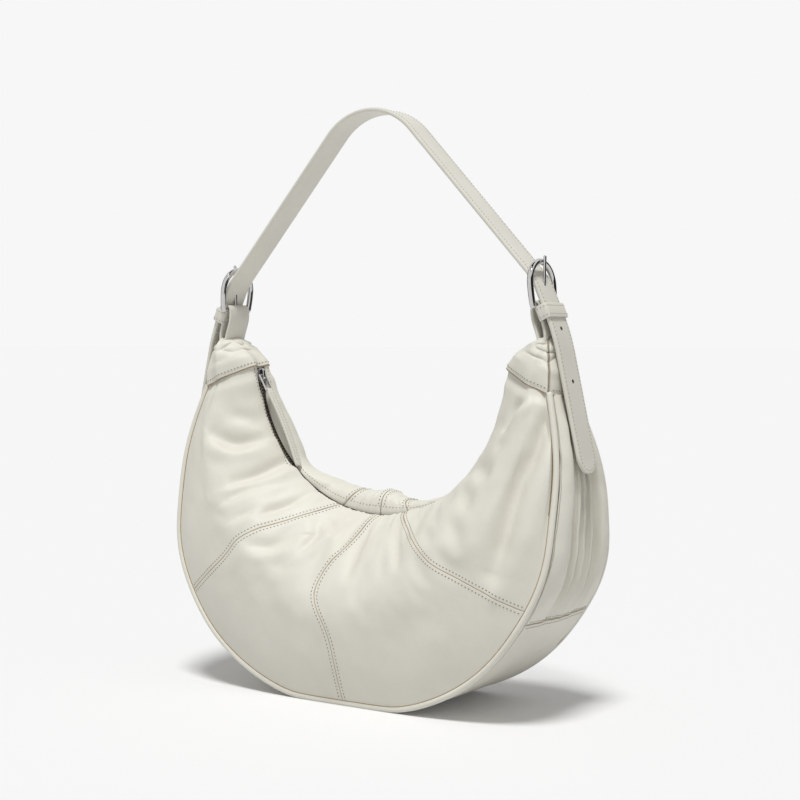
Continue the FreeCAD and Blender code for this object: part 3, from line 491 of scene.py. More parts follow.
def outer(along):
    """Outline of the bag in the front view."""
    along = np.asarray(along, float)
    reach = np.abs(along)
    turn = np.pi / 2 * np.minimum(reach, LOWER_SHARE) / LOWER_SHARE
    rise = np.clip((reach - LOWER_SHARE) / (1 - LOWER_SHARE), 0, None)
    x = np.where(reach <= LOWER_SHARE, HALF_WIDTH * np.sin(turn),
                 HALF_WIDTH - CAP_INSET * rise ** 2)
    low = (BELLY_HEIGHT + 5) * (1 - np.cos(turn)) - 5
    z = np.where(reach <= LOWER_SHARE, low, BELLY_HEIGHT + (CAP_HEIGHT - BELLY_HEIGHT) * rise)
    z = 1.2 + (z + np.hypot(z, 2.5)) / 2
    x = x + 3.5 * np.exp(-((z - 188) / 42) ** 2)
    x = x - 2.6 * np.exp(-((z - 66) / 32) ** 2) * (reach > 0.2)
    return np.sign(along) * x, z


def half_depth(along, back=False):
    """Depth of the piping from the middle."""
    height = outer(along)[1]
    rise = np.clip((height - TAPER_START) / (CAP_HEIGHT - TAPER_START), 0, 1)
    depth = (BASE_DEPTH + (CAP_DEPTH - BASE_DEPTH) * rise ** TAPER_POWER) / 2
    return depth + (BACK_SAG * smooth(30, 120, height) * smooth(232, 150, height) if back else 0)


def zip_turn(along):
    return ZIP_ANGLE * (0.43 * along + 0.57 * along ** 3)


def zip_point(along):
    turn = np.radians(zip_turn(np.asarray(along, float)))
    return (ZIP_RADIUS - 0.5) * np.sin(turn), ZIP_HEIGHT - (ZIP_RADIUS - 0.5) * np.cos(turn)


def section(along):
    """Start, direction and length of the line from piping to mouth in the front view."""
    (x, z), (zx, zz) = outer(along), zip_point(along)
    length = np.hypot(zx - x, zz - z)
    return x, z, (zx - x) / length, (zz - z) / length, length


def in_section(along, reach, y):
    """Point at a reach from the piping towards the mouth."""
    x, z, wx, wz, _ = section(along)
    return np.stack(np.broadcast_arrays(x + wx * reach, y, z + wz * reach), -1)


PANEL_KNOTS = (0, 0.16, 0.34, 0.52, 0.68, 0.82, 0.92, 0.975, 1)
SLOPE = np.array((0.3875, 0.6875, 0.8875, 0.98, 1.0))
CREST_SHARE = np.array((0.30, 0.90, 1.0, 0.5, 0.0))
CREST_TURNS = (-90, -78, -66, -55, -43, -32, -21, 0, 18, 28, 45, 65, 90)
BACK_CREST = (4.5, 9, 13, 12, 9.5, 18, 23, 25, 16, 9, 5, 4, 3)


def lip_gap(along):
    """Half gap between the leather edges at the zip."""
    return 0.9 + 1.6 * smooth(-0.64, -0.74, along) + 2.4 * smooth(-0.92, -0.965, along)


def panel_rows(back, along):
    """Reach and depth of a panel's outer face at its knots, for each place along."""
    length = section(along)[4]
    depth = half_depth(along, back)
    swell = 14 * (1 - 0.7 * along ** 2)
    belly = depth + swell
    if back:
        crest = spline_matrix(CREST_TURNS, zip_turn(along)) @ np.array(BACK_CREST)
    else:
        crest = 3.5 + 1.8 * smooth(0.0, 0.35, along)
    gap = lip_gap(along)
    horn = smooth(0.5, 0.95, np.abs(along))
    top = 0.60 - 0.16 * horn
    power = 1.22 + 0.1 * horn
    reaches = [2.1 + 0.3 * np.abs(along), 0.33 * top * length, 0.70 * top * length, top * length]
    depths = [depth + 1, depth + 0.62 * swell, depth + 0.95 * swell, belly]
    for u, share in zip(SLOPE, CREST_SHARE):
        reaches.append((top + (1 - top) * u) * length + share * crest + 1.5 * u)
        fall = gap + (belly - gap) * (1 - u ** power)
        depths.append(fall + share * 0.35 * crest * (u < 0.9))
    return np.stack(reaches), np.stack(depths)


def panel_base(back, along, across):
    """Outer face of a panel: along by across points, across 0 at the piping and 1 at the zip."""
    reaches, depths = panel_rows(back, along)
    weights = spline_matrix(PANEL_KNOTS, across)
    reach, y = (weights @ reaches).T, (weights @ depths).T
    return in_section(along[:, None], reach, y if back else -y)


ALONG, ACROSS = np.linspace(-1, 1, 521), np.linspace(0, 1, 141)
FOLD_SAMPLES = 120

# Folds of the leather as lines of the front view: points, half width and depth in millimetres.
FOLDS = (
    (((-138, 198), (-120, 190), (-108, 193)), 5.0, 3.2),
    (((-128, 214), (-114, 207)), 5.0, 1.4),
    (((-84, 178), (-99, 166), (-112, 160)), 5.0, 4.0),
    (((-90, 157), (-104, 153), (-112, 148)), 4.0, 2.4),
    (((-62, 149), (-73, 141), (-83, 138)), 4.0, 3.0),
    (((-91, 139), (-101, 134)), 3.5, 1.6),
    (((-82, 116), (-67, 114), (-54, 118)), 4.5, 2.8),
    (((-40, 131), (-37, 121), (-42, 112)), 4.0, 1.6),
    (((-36, 133), (-29, 129), (-23, 124)), 2.6, 1.4),
    (((-62, 104), (-50, 100), (-40, 103)), 5.0, 1.2),
    (((149, 238), (133, 225), (126, 210)), 4.0, 4.2),
    (((160, 220), (149, 183), (141, 148), (131, 112)), 8.5, 9.5),
    (((96, 172), (77, 143), (52, 127)), 7.0, -2.0),
    (((132, 212), (120, 186), (102, 156)), 6.0, 2.6),
)


def fold_lift(x, z):
    """Lift at places of the front view: a dip along each fold line and a swell below it."""
    lift = np.zeros_like(x)
    for points, width, depth in FOLDS:
        line = curve(points, FOLD_SAMPLES)
        way = along_line(line)
        step = np.linalg.norm(line[1] - line[0])
        below = np.stack((way[:, 1], -way[:, 0]), -1)
        below *= np.where(below[:, 1:] > 0, -1, 1)
        near = (np.abs(x - line[:, 0].mean()) < 75) & (np.abs(z - line[:, 1].mean()) < 95)
        px, pz = x[near][:, None] - line[:, 0], z[near][:, None] - line[:, 1]
        k = (px ** 2 + pz ** 2).argmin(1)
        here = np.arange(len(k))
        px, pz = px[here, k], pz[here, k]
        under = px * below[k, 0] + pz * below[k, 1]
        beside = px * way[k, 0] + pz * way[k, 1]
        away = np.hypot(under, np.clip(np.abs(beside) - 0.5 * step, 0, None))
        place = np.clip((k + beside / step) / (FOLD_SAMPLES - 1), 0, 1)
        share = np.sin(np.pi * (0.1 + 0.8 * place)) ** 0.7
        dip = np.exp(-(away / width) ** 2)
        swell = np.exp(-((away - 1.8 * width) / (1.1 * width)) ** 2) * smooth(0, width, under)
        lift[near] += share * depth * (0.5 * swell - dip)
    return lift


def folded_panel(back, along, across):
    """Panel with its larger folds and puckers, lifted along the face normal."""
    grid = panel_base(back, along, across)
    a, t = grid_of(along, across)
    seed = 40 if back else 20
    edge = (1 - t) * section(along)[4][:, None]
    lift = noise(a * 34, t * 2.0, seed) * np.exp(-edge / 14) * 0.6
    lift += 0.5 * noise(a * 22, t * 9, seed + 1) * smooth(0.02, 0.2, t)
    lift += 0.8 * noise(a * 4, t * 4, seed + 2) * smooth(0, 0.2, t)
    folds = fold_lift(grid[..., 0] * (-1 if back else 1), grid[..., 2])
    lift += folds * (0.6 if back else 0.95) * smooth(0.985, 0.93, np.abs(a))
    lift -= 1.6 * smooth(0.962, 0.985, np.abs(a))
    lift *= smooth(0, 0.05, t) * smooth(1.0, 0.975, t)
    return grid + grid_normals(grid) * (lift * (-1 if back else 1))[..., None]


CLOTH_SCALE, CLOTH_LIMIT, CLOTH_FRAMES = 0.01, 7.0, 18


def buckled(back):
    """Movement of a panel in a cloth run: borders held, spare length at the horns and the mouth."""
    along, across = np.linspace(-1, 1, 201), np.linspace(0, 1, 65)
    grid = folded_panel(back, along, across)
    a, t = (v.ravel() for v in grid_of(along, across))
    mesh = bpy.data.meshes.new("cloth_run")
    mesh.from_pydata((grid.reshape(-1, 3) * CLOTH_SCALE).tolist(), [],
                     grid_faces(len(along), len(across)).tolist())
    obj = add_object("cloth_run", mesh)
    held = (t < 0.02) | (t > 0.985) | (np.abs(a) > 0.985)
    obj.vertex_groups.new(name="held").add(np.flatnonzero(held).tolist(), 1.0, "REPLACE")
    a = -a if back else a
    spare = np.maximum(smooth(-0.38, -0.62, a), 0.4 * smooth(0.5, 0.75, a))
    spare = np.maximum(spare, 0.02 * smooth(0.58, 0.78, t)) * smooth(0.02, 0.3, t)
    group = obj.vertex_groups.new(name="spare")
    for step in range(1, 11):
        group.add(np.flatnonzero(np.round(spare * 10) == step).tolist(), step / 10, "REPLACE")
    run = obj.modifiers.new("run", "CLOTH")
    run.collision_settings.use_collision = False
    set_to = run.settings
    set_to.quality, set_to.mass, set_to.air_damping = 6, 0.3, 2
    set_to.tension_stiffness = set_to.compression_stiffness = 25
    set_to.shear_stiffness, set_to.bending_stiffness, set_to.bending_damping = 12, 8, 1
    set_to.tension_damping = set_to.compression_damping = set_to.shear_damping = 8
    set_to.vertex_group_mass, set_to.vertex_group_shrink = "held", "spare"
    set_to.shrink_min, set_to.shrink_max = 0.0, -0.24
    set_to.use_pressure, set_to.uniform_pressure_force = True, -0.6 if back else 0.6
    set_to.effector_weights.gravity = 0
    for number in range(1, CLOTH_FRAMES + 1):
        bpy.context.scene.frame_set(number)
    shape = obj.evaluated_get(bpy.context.evaluated_depsgraph_get()).data
    moved = np.empty(3 * len(a))
    shape.vertices.foreach_get("co", moved)
    bpy.context.scene.frame_set(1)
    bpy.data.objects.remove(obj)
    moved = moved.reshape(grid.shape) / CLOTH_SCALE - grid
    for _ in range(2):
        moved[1:-1] = (moved[:-2] + 2 * moved[1:-1] + moved[2:]) / 4
        moved[:, 1:-1] = (moved[:, :-2] + 2 * moved[:, 1:-1] + moved[:, 2:]) / 4
    far = np.linalg.norm(moved, axis=-1, keepdims=True)
    return np.round(moved * np.minimum(1, CLOTH_LIMIT / np.maximum(far, 1e-6)), 3)


def make_panel(back):
    grid = folded_panel(back, ALONG, ACROSS)
    moved = buckled(back)
    u = np.linspace(0, moved.shape[0] - 1, len(ALONG))
    v = np.linspace(0, moved.shape[1] - 1, len(ACROSS))
    return grid + cubic_sample(moved, *grid_of(u, v))


PANELS = {False: make_panel(False), True: make_panel(True)}


def on_panel(back, along, across):
    """Points and outward normals of a panel's face."""
    grid = PANELS[back]
    u = (np.asarray(along, float) + 1) / 2 * (len(ALONG) - 1)
    v = np.asarray(across, float) * (len(ACROSS) - 1)
    point = cubic_sample(grid, u, v)
    du = cubic_sample(grid, u + 0.3, v) - cubic_sample(grid, u - 0.3, v)
    dv = cubic_sample(grid, u, v + 0.3) - cubic_sample(grid, u, v - 0.3)
    return point, unit(np.cross(du, dv)) * (-1 if back else 1)


def seam_left(t):
    rise = np.clip((t - 0.62) / 0.38, 0, 1) ** 1.1
    return -0.49 - 0.02 * np.exp(-((t - 0.5) / 0.13) ** 2) + 0.10 * rise


def seam_middle(t):
    return -0.105 * np.exp(-((t - 0.585) / 0.2) ** 2)


def seam_right(t):
    return 0.528 - 0.09 * t - 0.14 * t ** 3


def edge_left(t):
    return np.full_like(t, -1.0)


def edge_right(t):
    return np.full_like(t, 1.0)


PANEL_LINES = (edge_left, seam_left, seam_middle, seam_right, edge_right)
PANEL_NAMES = ("left", "lower_left", "lower_right", "right")


def mouth_blend(obj):
    """Bakes the placement of a panel or lining into its mesh."""
    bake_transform(obj)


def seam_offset(back, line, t, away):
    """Line on a panel beside a seam, away to its right in millimetres."""
    a = line(t)
    here, _ = on_panel(back, a, t)
    beside, _ = on_panel(back, a + 0.01, t)
    return a + 0.01 * away / np.maximum(np.linalg.norm(beside - here, axis=-1), 0.2)


def between(low, high, share, across):
    """Places along between two lines of a panel."""
    return low(across) * (1 - share[:, None]) + high(across) * share[:, None]


for back, word, _ in SIDES:
    for k, name in enumerate(PANEL_NAMES):
        first, last = PANEL_LINES[k], PANEL_LINES[k + 1]
        across = np.linspace(0, 1, 150)
        a = between(first, last, np.linspace(0, 1, 140), across)
        points, _ = on_panel(back, a, np.broadcast_to(across, a.shape))
        piece = leather(Mesh(), points, radius=0.5, flip=back, gaps=(0.1, 0.0))
        run = np.linspace(0.012, 0.985, 160)
        for number, inward in ((k, 1), (k + 1, -1)):
            if 0 < number < 4:
                line = PANEL_LINES[number]
                at = seam_offset(back, line, run, inward * SEAM_STITCH)
                stitch_row(piece, *on_panel(back, at, run), 1)
                if inward > 0:
                    # Brown line in the seam groove: raw edge with painted seam shadow.
                    spine, up = on_panel(back, line(run), run)
                    tube(piece, spine - up * 0.34, 0.3, 6, 2)
        ends = np.linspace(first(np.array(1.0)) + 0.006, last(np.array(1.0)) - 0.006, 200)
        reach = 1 - MOUTH_STITCH[back] / (section(ends)[4] * 1.15)
        stitch_row(piece, *on_panel(back, ends, np.minimum(reach, 0.986)), 3 if back else 1)
        obj = piece.build("%s_panel_%s_leather" % (word, name), (BODY, THREAD_WITH_HOLE_SHADE, SEAM, PALE_THREAD_WITH_HOLE_SHADE))
        mouth_blend(obj)
        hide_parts("%s_panel_%s" % (word, name))


# ---- piping

for back, word, sign in SIDES:
    at = np.linspace(-0.998, 0.998, 400)
    depth = half_depth(at, back)
    piece = Mesh()
    tube(piece, even(in_section(at, 0, sign * depth), 420), PIPING_RADIUS, 14)
    # Brown lines beside the bead, in the seam material: raw edges with painted seam shadow.
    for reach, y in ((2.1, 0.9), (-1.4, -2.1)):
        tube(piece, even(in_section(at, reach, sign * (depth + y)), 300), 0.32, 6, 1)
    obj = piece.build(word + "_piping_welt", (BODY, SEAM))
    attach(obj, "shell")
    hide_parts(word + "_piping")


# ---- gusset

RIDGES = (-1.0, -0.50, -0.20, 0.05, 0.34, 0.70, 1.0)
VALLEYS = (-3.4, 13.0, 9.5, 11.0, 12.0, -2.6)


def pleats(height, across, side):
    """Inward depth of the upright pleats of a gusset side."""
    drift = 0.05 * noise(height / 45 + side * 9, across * 0, 71)
    place = across + drift * (1 - across ** 2)
    depth = np.zeros_like(place)
    for k, valley in enumerate(VALLEYS):
        low, high = RIDGES[k], RIDGES[k + 1]
        inside = (place >= low) & (place < high)
        wave = np.sin(np.pi * np.clip((place - low) / (high - low), 0, 1))
        wave = wave ** (0.8 if valley > 0 else 1)
        sway = 1 + 0.35 * noise(height / 38, place * 0 + k * 3.7 + side, 72)
        depth += np.where(inside, valley * wave * sway, 0)
    fade = smooth(66, 128, height) * (0.55 + 0.45 * smooth(240, 205, height))
    return depth * fade


def gusset_point(along, across):
    """Outer face of the gusset; across runs from -1 in front to 1 at the back."""
    front, rear = (half_depth(along, side) - PIPING_RADIUS - 0.2 for side in (False, True))
    height = outer(along)[1]
    grow = np.clip(height / 100, 0, 1)
    swell = 4 * grow ** 2 * (1 - across ** 2)
    inward = -1.9 - swell + pleats(height, across, np.sign(along))
    inward = inward + 0.5 * noise(along * 30, across * 4, 73) * smooth(10, 60, height)
    point = in_section(along, inward, -front + (across + 1) / 2 * (front + rear))
    point[..., 2] = np.maximum(point[..., 2], 0.0)
    return point


def gusset_line(along, across):
    """Line across the gusset with the inward normals there."""
    grid = np.stack([gusset_point(along + d, across) for d in (-0.002, 0, 0.002)])
    return grid[1], grid_normals(grid)[1]


GUSSETS = (("gusset_left", -1.0, -0.5), ("gusset_bottom", -0.5, 0.5), ("gusset_right", 0.5, 1.0))
GUSSET_STITCH = 3.0 / 372.0
for name, low, high in GUSSETS:
    a, s = grid_of(np.linspace(low, high, 170), np.linspace(-1, 1, 120))
    piece = leather(Mesh(), gusset_point(a, s), flip=True, gaps=(0.12, 0.0))
    across = np.linspace(-0.93, 0.93, 120)
    for end, inside in ((low, 1), (high, -1)):
        if abs(end) < 1:
            here = np.full_like(across, end)
            line, down = gusset_line(here + inside * GUSSET_STITCH, across)
            stitch_row(piece, line, -down, 1)
            if name == "gusset_bottom":
                line, down = gusset_line(here, across)
                tube(piece, line + down * 0.4, 0.32, 6, 2, hint=(0, 0, 1))
    obj = piece.build(name + "_leather", (BODY, THREAD_WITH_HOLE_SHADE, SEAM))
    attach(obj, "shell")
    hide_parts(name)


# ---- horn caps

def horn_loop(side):
    """Loop of a horn at its seam: reach and depth, from the gusset middle round the front."""
    here = np.array([float(side)])
    length, depth = section(1.0)[4], half_depth(1.0)
    width = depth - PIPING_RADIUS - 0.3
    loops = []
    for back in (False, True):
        reaches, depths = panel_rows(back, here)
        rows = [(-4.9, width / 2), (-1.4, depth + 1.2)]
        rows += [(r, d + 0.2) for r, d in zip(reaches[1:8, 0], depths[1:8, 0])]
        loops.append(rows)
    front, rear = loops
    loop = [(-5.9, 0.0)] + [(r, -d) for r, d in front] + [(length + 0.8, 0.0)] + rear[::-1]
    return np.array(loop), length, depth


def on_end(points, side):
    """Points drawn at the right end, moved to their own end."""
    return points * np.array((float(side), 1, 1))


def horn_point(side, turn, level, lift=0.0):
    """Outer face of a horn cap: turn 0..1 round its loop, level 0 at the seam and 1 on top."""
    loop, length, depth = horn_loop(side)
    low = np.stack([in_section(1.0, r, y) for r, y in loop])
    angle = np.arctan2(loop[:, 1] / depth, (loop[:, 0] - length / 2) / (length / 2))
    top = np.array((SLOT_X, 0, HORN_TOP))
    high = top + np.stack((-(SLOT_LENGTH + 2) * np.cos(angle), (SLOT_WIDTH + 2) * np.sin(angle),
                           np.zeros(len(loop))), -1)
    knots = np.linspace(0, 1, len(loop) + 1)
    shape = turn.shape
    turn, level = turn.ravel(), level.ravel()[:, None]
    weights = spline_matrix(knots, turn % 1.0, True)
    low, high = weights @ low, weights @ high
    point = low * (1 - level) + high * level
    centre = in_section(1.0, length / 2, 0.0) * (1 - level) + top * level
    out = unit(point - centre)
    swell = 3.0 * np.sin(np.pi * np.clip(level, 0, 1)) - 0.5 * smooth(0.07, -0.04, level)
    up = level[:, 0]
    gather = 1 - 2.2 * np.abs(noise(turn * 15 + side, up * 1.3, 81))[:, None]
    gather = gather * smooth(0.45, 0.9, level) * 1.3
    wander = up * 4.2 + 0.9 * noise(turn * 8, up * 2, 83)
    smile = (1 - np.abs(noise(turn * 9 + side, wander, 84)))[:, None] ** 3
    sag = noise(turn * 5, up * 4.5 + side, 82)[:, None] * 1.2 * smooth(0.1, 0.4, level)
    sag = sag - 2.0 * smile * smooth(0.30, 0.62, level) * smooth(1.02, 0.85, level)
    bent = smooth(0.86, 1.08, level) * 3.2
    point = point + out * (swell + gather + sag - bent + lift)
    return on_end(point.reshape(shape + (3,)), side)


TAB_TURN = 2.1 / 20
for side, word in ENDS:
    cap, tab = Mesh(), Mesh()
    for mesh, low, high, count, inset in ((cap, TAB_TURN, 1 - TAB_TURN, 300, 0.012),
                                          (tab, -TAB_TURN, TAB_TURN, 80, 0.015)):
        turn, level = grid_of(np.linspace(low, high, count), np.linspace(-0.045, 1.06, 90))
        leather(mesh, horn_point(side, turn, level), flip=side > 0, gaps=(0.12, 0.0))
        turn = np.stack([np.linspace(low + inset, high - inset, 200)] * 3)
        level = np.stack([np.full(200, v) for v in (0.03, 0.06, 0.09)])
        grid = horn_point(side, turn, level)
        stitch_row(mesh, grid[1], grid_normals(grid)[1] * side, 1)
        edge = horn_point(side, turn[:1], level[:1] * 0 - 0.05, -0.75)[0]
        tube(mesh, edge, 0.38, 6, 2, hint=(0, 0, 1))
    level = np.linspace(-0.03, 0.98, 60)[None]
    for turn in (TAB_TURN, -TAB_TURN):
        tube(tab, horn_point(side, np.full((1, 60), turn), level, -0.4)[0], 0.34, 6, 2)
    for mesh, label in ((cap, word + "_horn_cap"), (tab, word + "_horn_side_tab")):
        obj = mesh.build(label + "_leather", (BODY, THREAD_WITH_HOLE_SHADE, SEAM))
        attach(obj, "shell")
        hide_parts(label)


# ---- zip: hems, tapes, slider and pull

def zip_frame(degrees):
    """Point on the zip line, direction to the right along it and direction to its centre."""
    turn = np.radians(degrees)
    right, rise, none = np.sin(turn), np.cos(turn), 0 * turn
    point = np.stack((ZIP_RADIUS * right, none, ZIP_HEIGHT - ZIP_RADIUS * rise), -1)
    return point, np.stack((rise, none, right), -1), np.stack((-right, none, rise), -1)


for back, word, sign in SIDES:
    a = np.linspace(-0.985, 0.985, 260)
    teeth = zip_frame(zip_turn(a))[0] + np.array((0.0, 2.6 * sign, 0.0))
    points, up = on_panel(back, *grid_of(a, np.array(HEM_ACROSS)))
    hem = leather(Mesh(), points - up * HEM_UNDER, 0.9, 0.4, (0.0, 0.0), flip=back)
    obj = hem.build(word + "_lip_hem", (BODY,))
    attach(obj, word + "_mouth")
    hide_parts(word + "_lip")
    grid = np.concatenate((teeth[:, None], (points - up * TAPE_UNDER)[:, 1:4]), 1)
    tape = leather(Mesh(), grid, 0.6, 0.25, (0.0, 0.0), flip=back)
    obj = tape.build(word + "_zip_tape_cloth", (TAPE,))
    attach(obj, word + "_mouth")
    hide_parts(word + "_zip_tape")


def rounded_block(mesh, origin, axes, size, radius):
    """Block with rounded edges; its axes run along, across and up."""
    n = 14
    u, v = grid_of(np.linspace(0, 2 * np.pi, 4 * n, endpoint=False),
                   np.linspace(-np.pi / 2, np.pi / 2, 2 * n))
    ball = np.stack((np.cos(u) * np.cos(v), np.sin(u) * np.cos(v), np.sin(v)), -1)
    half = np.array(size) / 2 - radius
    local = np.sign(np.where(np.abs(ball) < 1e-9, 0, ball)) * half + ball * radius
    mesh.add(origin + local @ axes, grid_faces(4 * n, 2 * n, wrap_n=True))


# Slider: two plates, the wedge between them, guide rims and the bridge that holds the link.
BRIDGE = ((-4.4, 2.6), (-4.3, 4.6), (-3.2, 5.6), (0.0, 5.9), (3.2, 5.6), (4.3, 4.6), (4.4, 2.6))
point, way, up = (v[0] for v in zip_frame(np.array([-SLIDER_ANGLE])))
axes = np.stack((way, np.array((0, 1.0, 0)), up))
slider = Mesh()
for height in (2.35, -2.35):
    rounded_block(slider, point + up * height, axes, (12, 9.6, 1.3), 0.6)
rounded_block(slider, point - way * 3.6, axes, (2.4, 2.4, 5.4), 0.5)
for y in (-4.45, 4.45):
    for height in (1.35, -1.35):
        rounded_block(slider, point + up * height + axes[1] * y, axes, (12, 0.7, 0.9), 0.3)
line = curve([point + way * p + up * q for p, q in BRIDGE], 40)
sweep(slider, line, *strip_axes(line)[1:], round_box(2.2, 1.1, 0.4))
obj = slider.build("zip_slider_body", (CHROME,))
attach(obj, "zip_slider")
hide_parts("zip_slider")

# Pull: leather strip that hangs from the end of the link.
link_way = way * math.cos(LINK_LIFT) + up * math.sin(LINK_LIFT)
link_end = point + way * 0.5 + up * 4.2 + link_way * LINK_LENGTH
reach = np.linspace(0, PULL_LENGTH, 80)
bend = np.radians(-59.0 - 9.0 * smooth(0, PULL_LENGTH, reach))
steps = np.stack((np.cos(bend), 0 * bend, np.sin(bend)), -1) * (reach[1] - reach[0])
line = link_end + np.cumsum(steps, 0) - steps[0] * 2.2
_, side, lift = strip_axes(line)
last = np.clip((np.arange(len(line)) - len(line) + 4) / 4.0, 0, 0.9)
widths = PULL_WIDTH * np.sqrt(np.clip(1 - last ** 2, 0.1, 1))
pull = Mesh()
sweep(pull, line, side, lift, np.stack([round_box(max(w, 3), PULL_THICK, 0.8) for w in widths]))
line, side, lift = (v[4:-5] for v in (line, side, lift))
for edge in (-2.1, 2.1):
    for face in (1, -1):
        row = line + side * edge + lift * face * PULL_THICK / 2
        stitch_row(pull, row, lift * face, 1, 2.4, 1.6, 0.26)
obj = pull.build("leather_pull_strip", (STRAP, PALE_THREAD_WITH_HOLE_SHADE))
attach(obj, "zip_pull")
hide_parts("leather_pull")


# ---- strap

def flat(points):
    """Points of the front view as points in space."""
    points = np.asarray(points, float)
    return np.stack((points[:, 0], 0 * points[:, 0], points[:, 1]), -1)


def rounded_path(points, radius, count=14):
    """Straight runs with eased corners."""
    points = [np.asarray(p, float) for p in points]
    out = [points[0]]
    for a, b, c in zip(points, points[1:], points[2:]):
        low, high = b + unit(a - b) * radius, b + unit(c - b) * radius
        s = np.linspace(0, 1, count)[:, None]
        out += list((1 - s) ** 2 * low + 2 * s * (1 - s) * b + s ** 2 * high)
    return np.array(out + [points[-1]])


def edge_stitches(mesh, line, side, lift, face, mat):
    """Stitch rows beside both edges of one face of the strap."""
    for sign in (-1, 1):
        row = line + side * sign * STITCH_EDGE + lift * face * STRAP_THICK / 2
        stitch_row(mesh, row, lift * face, mat)


drop = KNEE - np.array((0.0, CROWN_HEIGHT))
LEAN = math.atan2(-drop[1], drop[0]) + math.asin(CROWN_RADIUS / np.linalg.norm(drop))
crown = [(CROWN_RADIUS * math.sin(t), CROWN_HEIGHT + CROWN_RADIUS * math.cos(t))
         for t in np.linspace(0, LEAN, 30)]
half = np.array(crown + list(rounded_path([crown[-1], KNEE, KEEPER], 9.0))[1:])
half = np.vstack((half[::-1] * np.array((-1, 1)), half[1:]))
half[:, 0] -= 2.5 * smooth(325, 445, half[:, 1])
half[:, 0] -= 1.8 * (half[:, 0] > 0) * smooth(318, 345, half[:, 1]) * smooth(430, 390, half[:, 1])
line = even(flat(half), 520)
_, side, lift = strip_axes(line)
piece = Mesh()
sweep(piece, line, side, lift, round_box(STRAP_WIDTH, STRAP_THICK, STRAP_ROUND))
edge_stitches(piece, line[4:-4], side[4:-4], lift[4:-4], 1, 1)
obj = piece.build("strap_band", (STRAP, PALE_THREAD_WITH_HOLE_SHADE))
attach(obj, "handle")
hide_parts("strap", "left_strap_end", "right_strap_end")


def hole_cut(obj, place, way):
    """Cuts a punched hole through a piece."""
    tool_mesh = Mesh()
    tube(tool_mesh, np.stack([place + unit(way) * s for s in (-5.0, 0.0, 5.0)]), HOLE_RADIUS, 18)
    tool = tool_mesh.build("hole_tool", (HOLE,))
    cut = obj.modifiers.new("hole", "BOOLEAN")
    cut.operation, cut.solver, cut.object = "DIFFERENCE", "EXACT", tool
    bpy.context.view_layer.update()
    made = bpy.data.meshes.new_from_object(obj.evaluated_get(bpy.context.evaluated_depsgraph_get()))
    obj.modifiers.clear()
    obj.data = made
    bpy.data.objects.remove(tool)


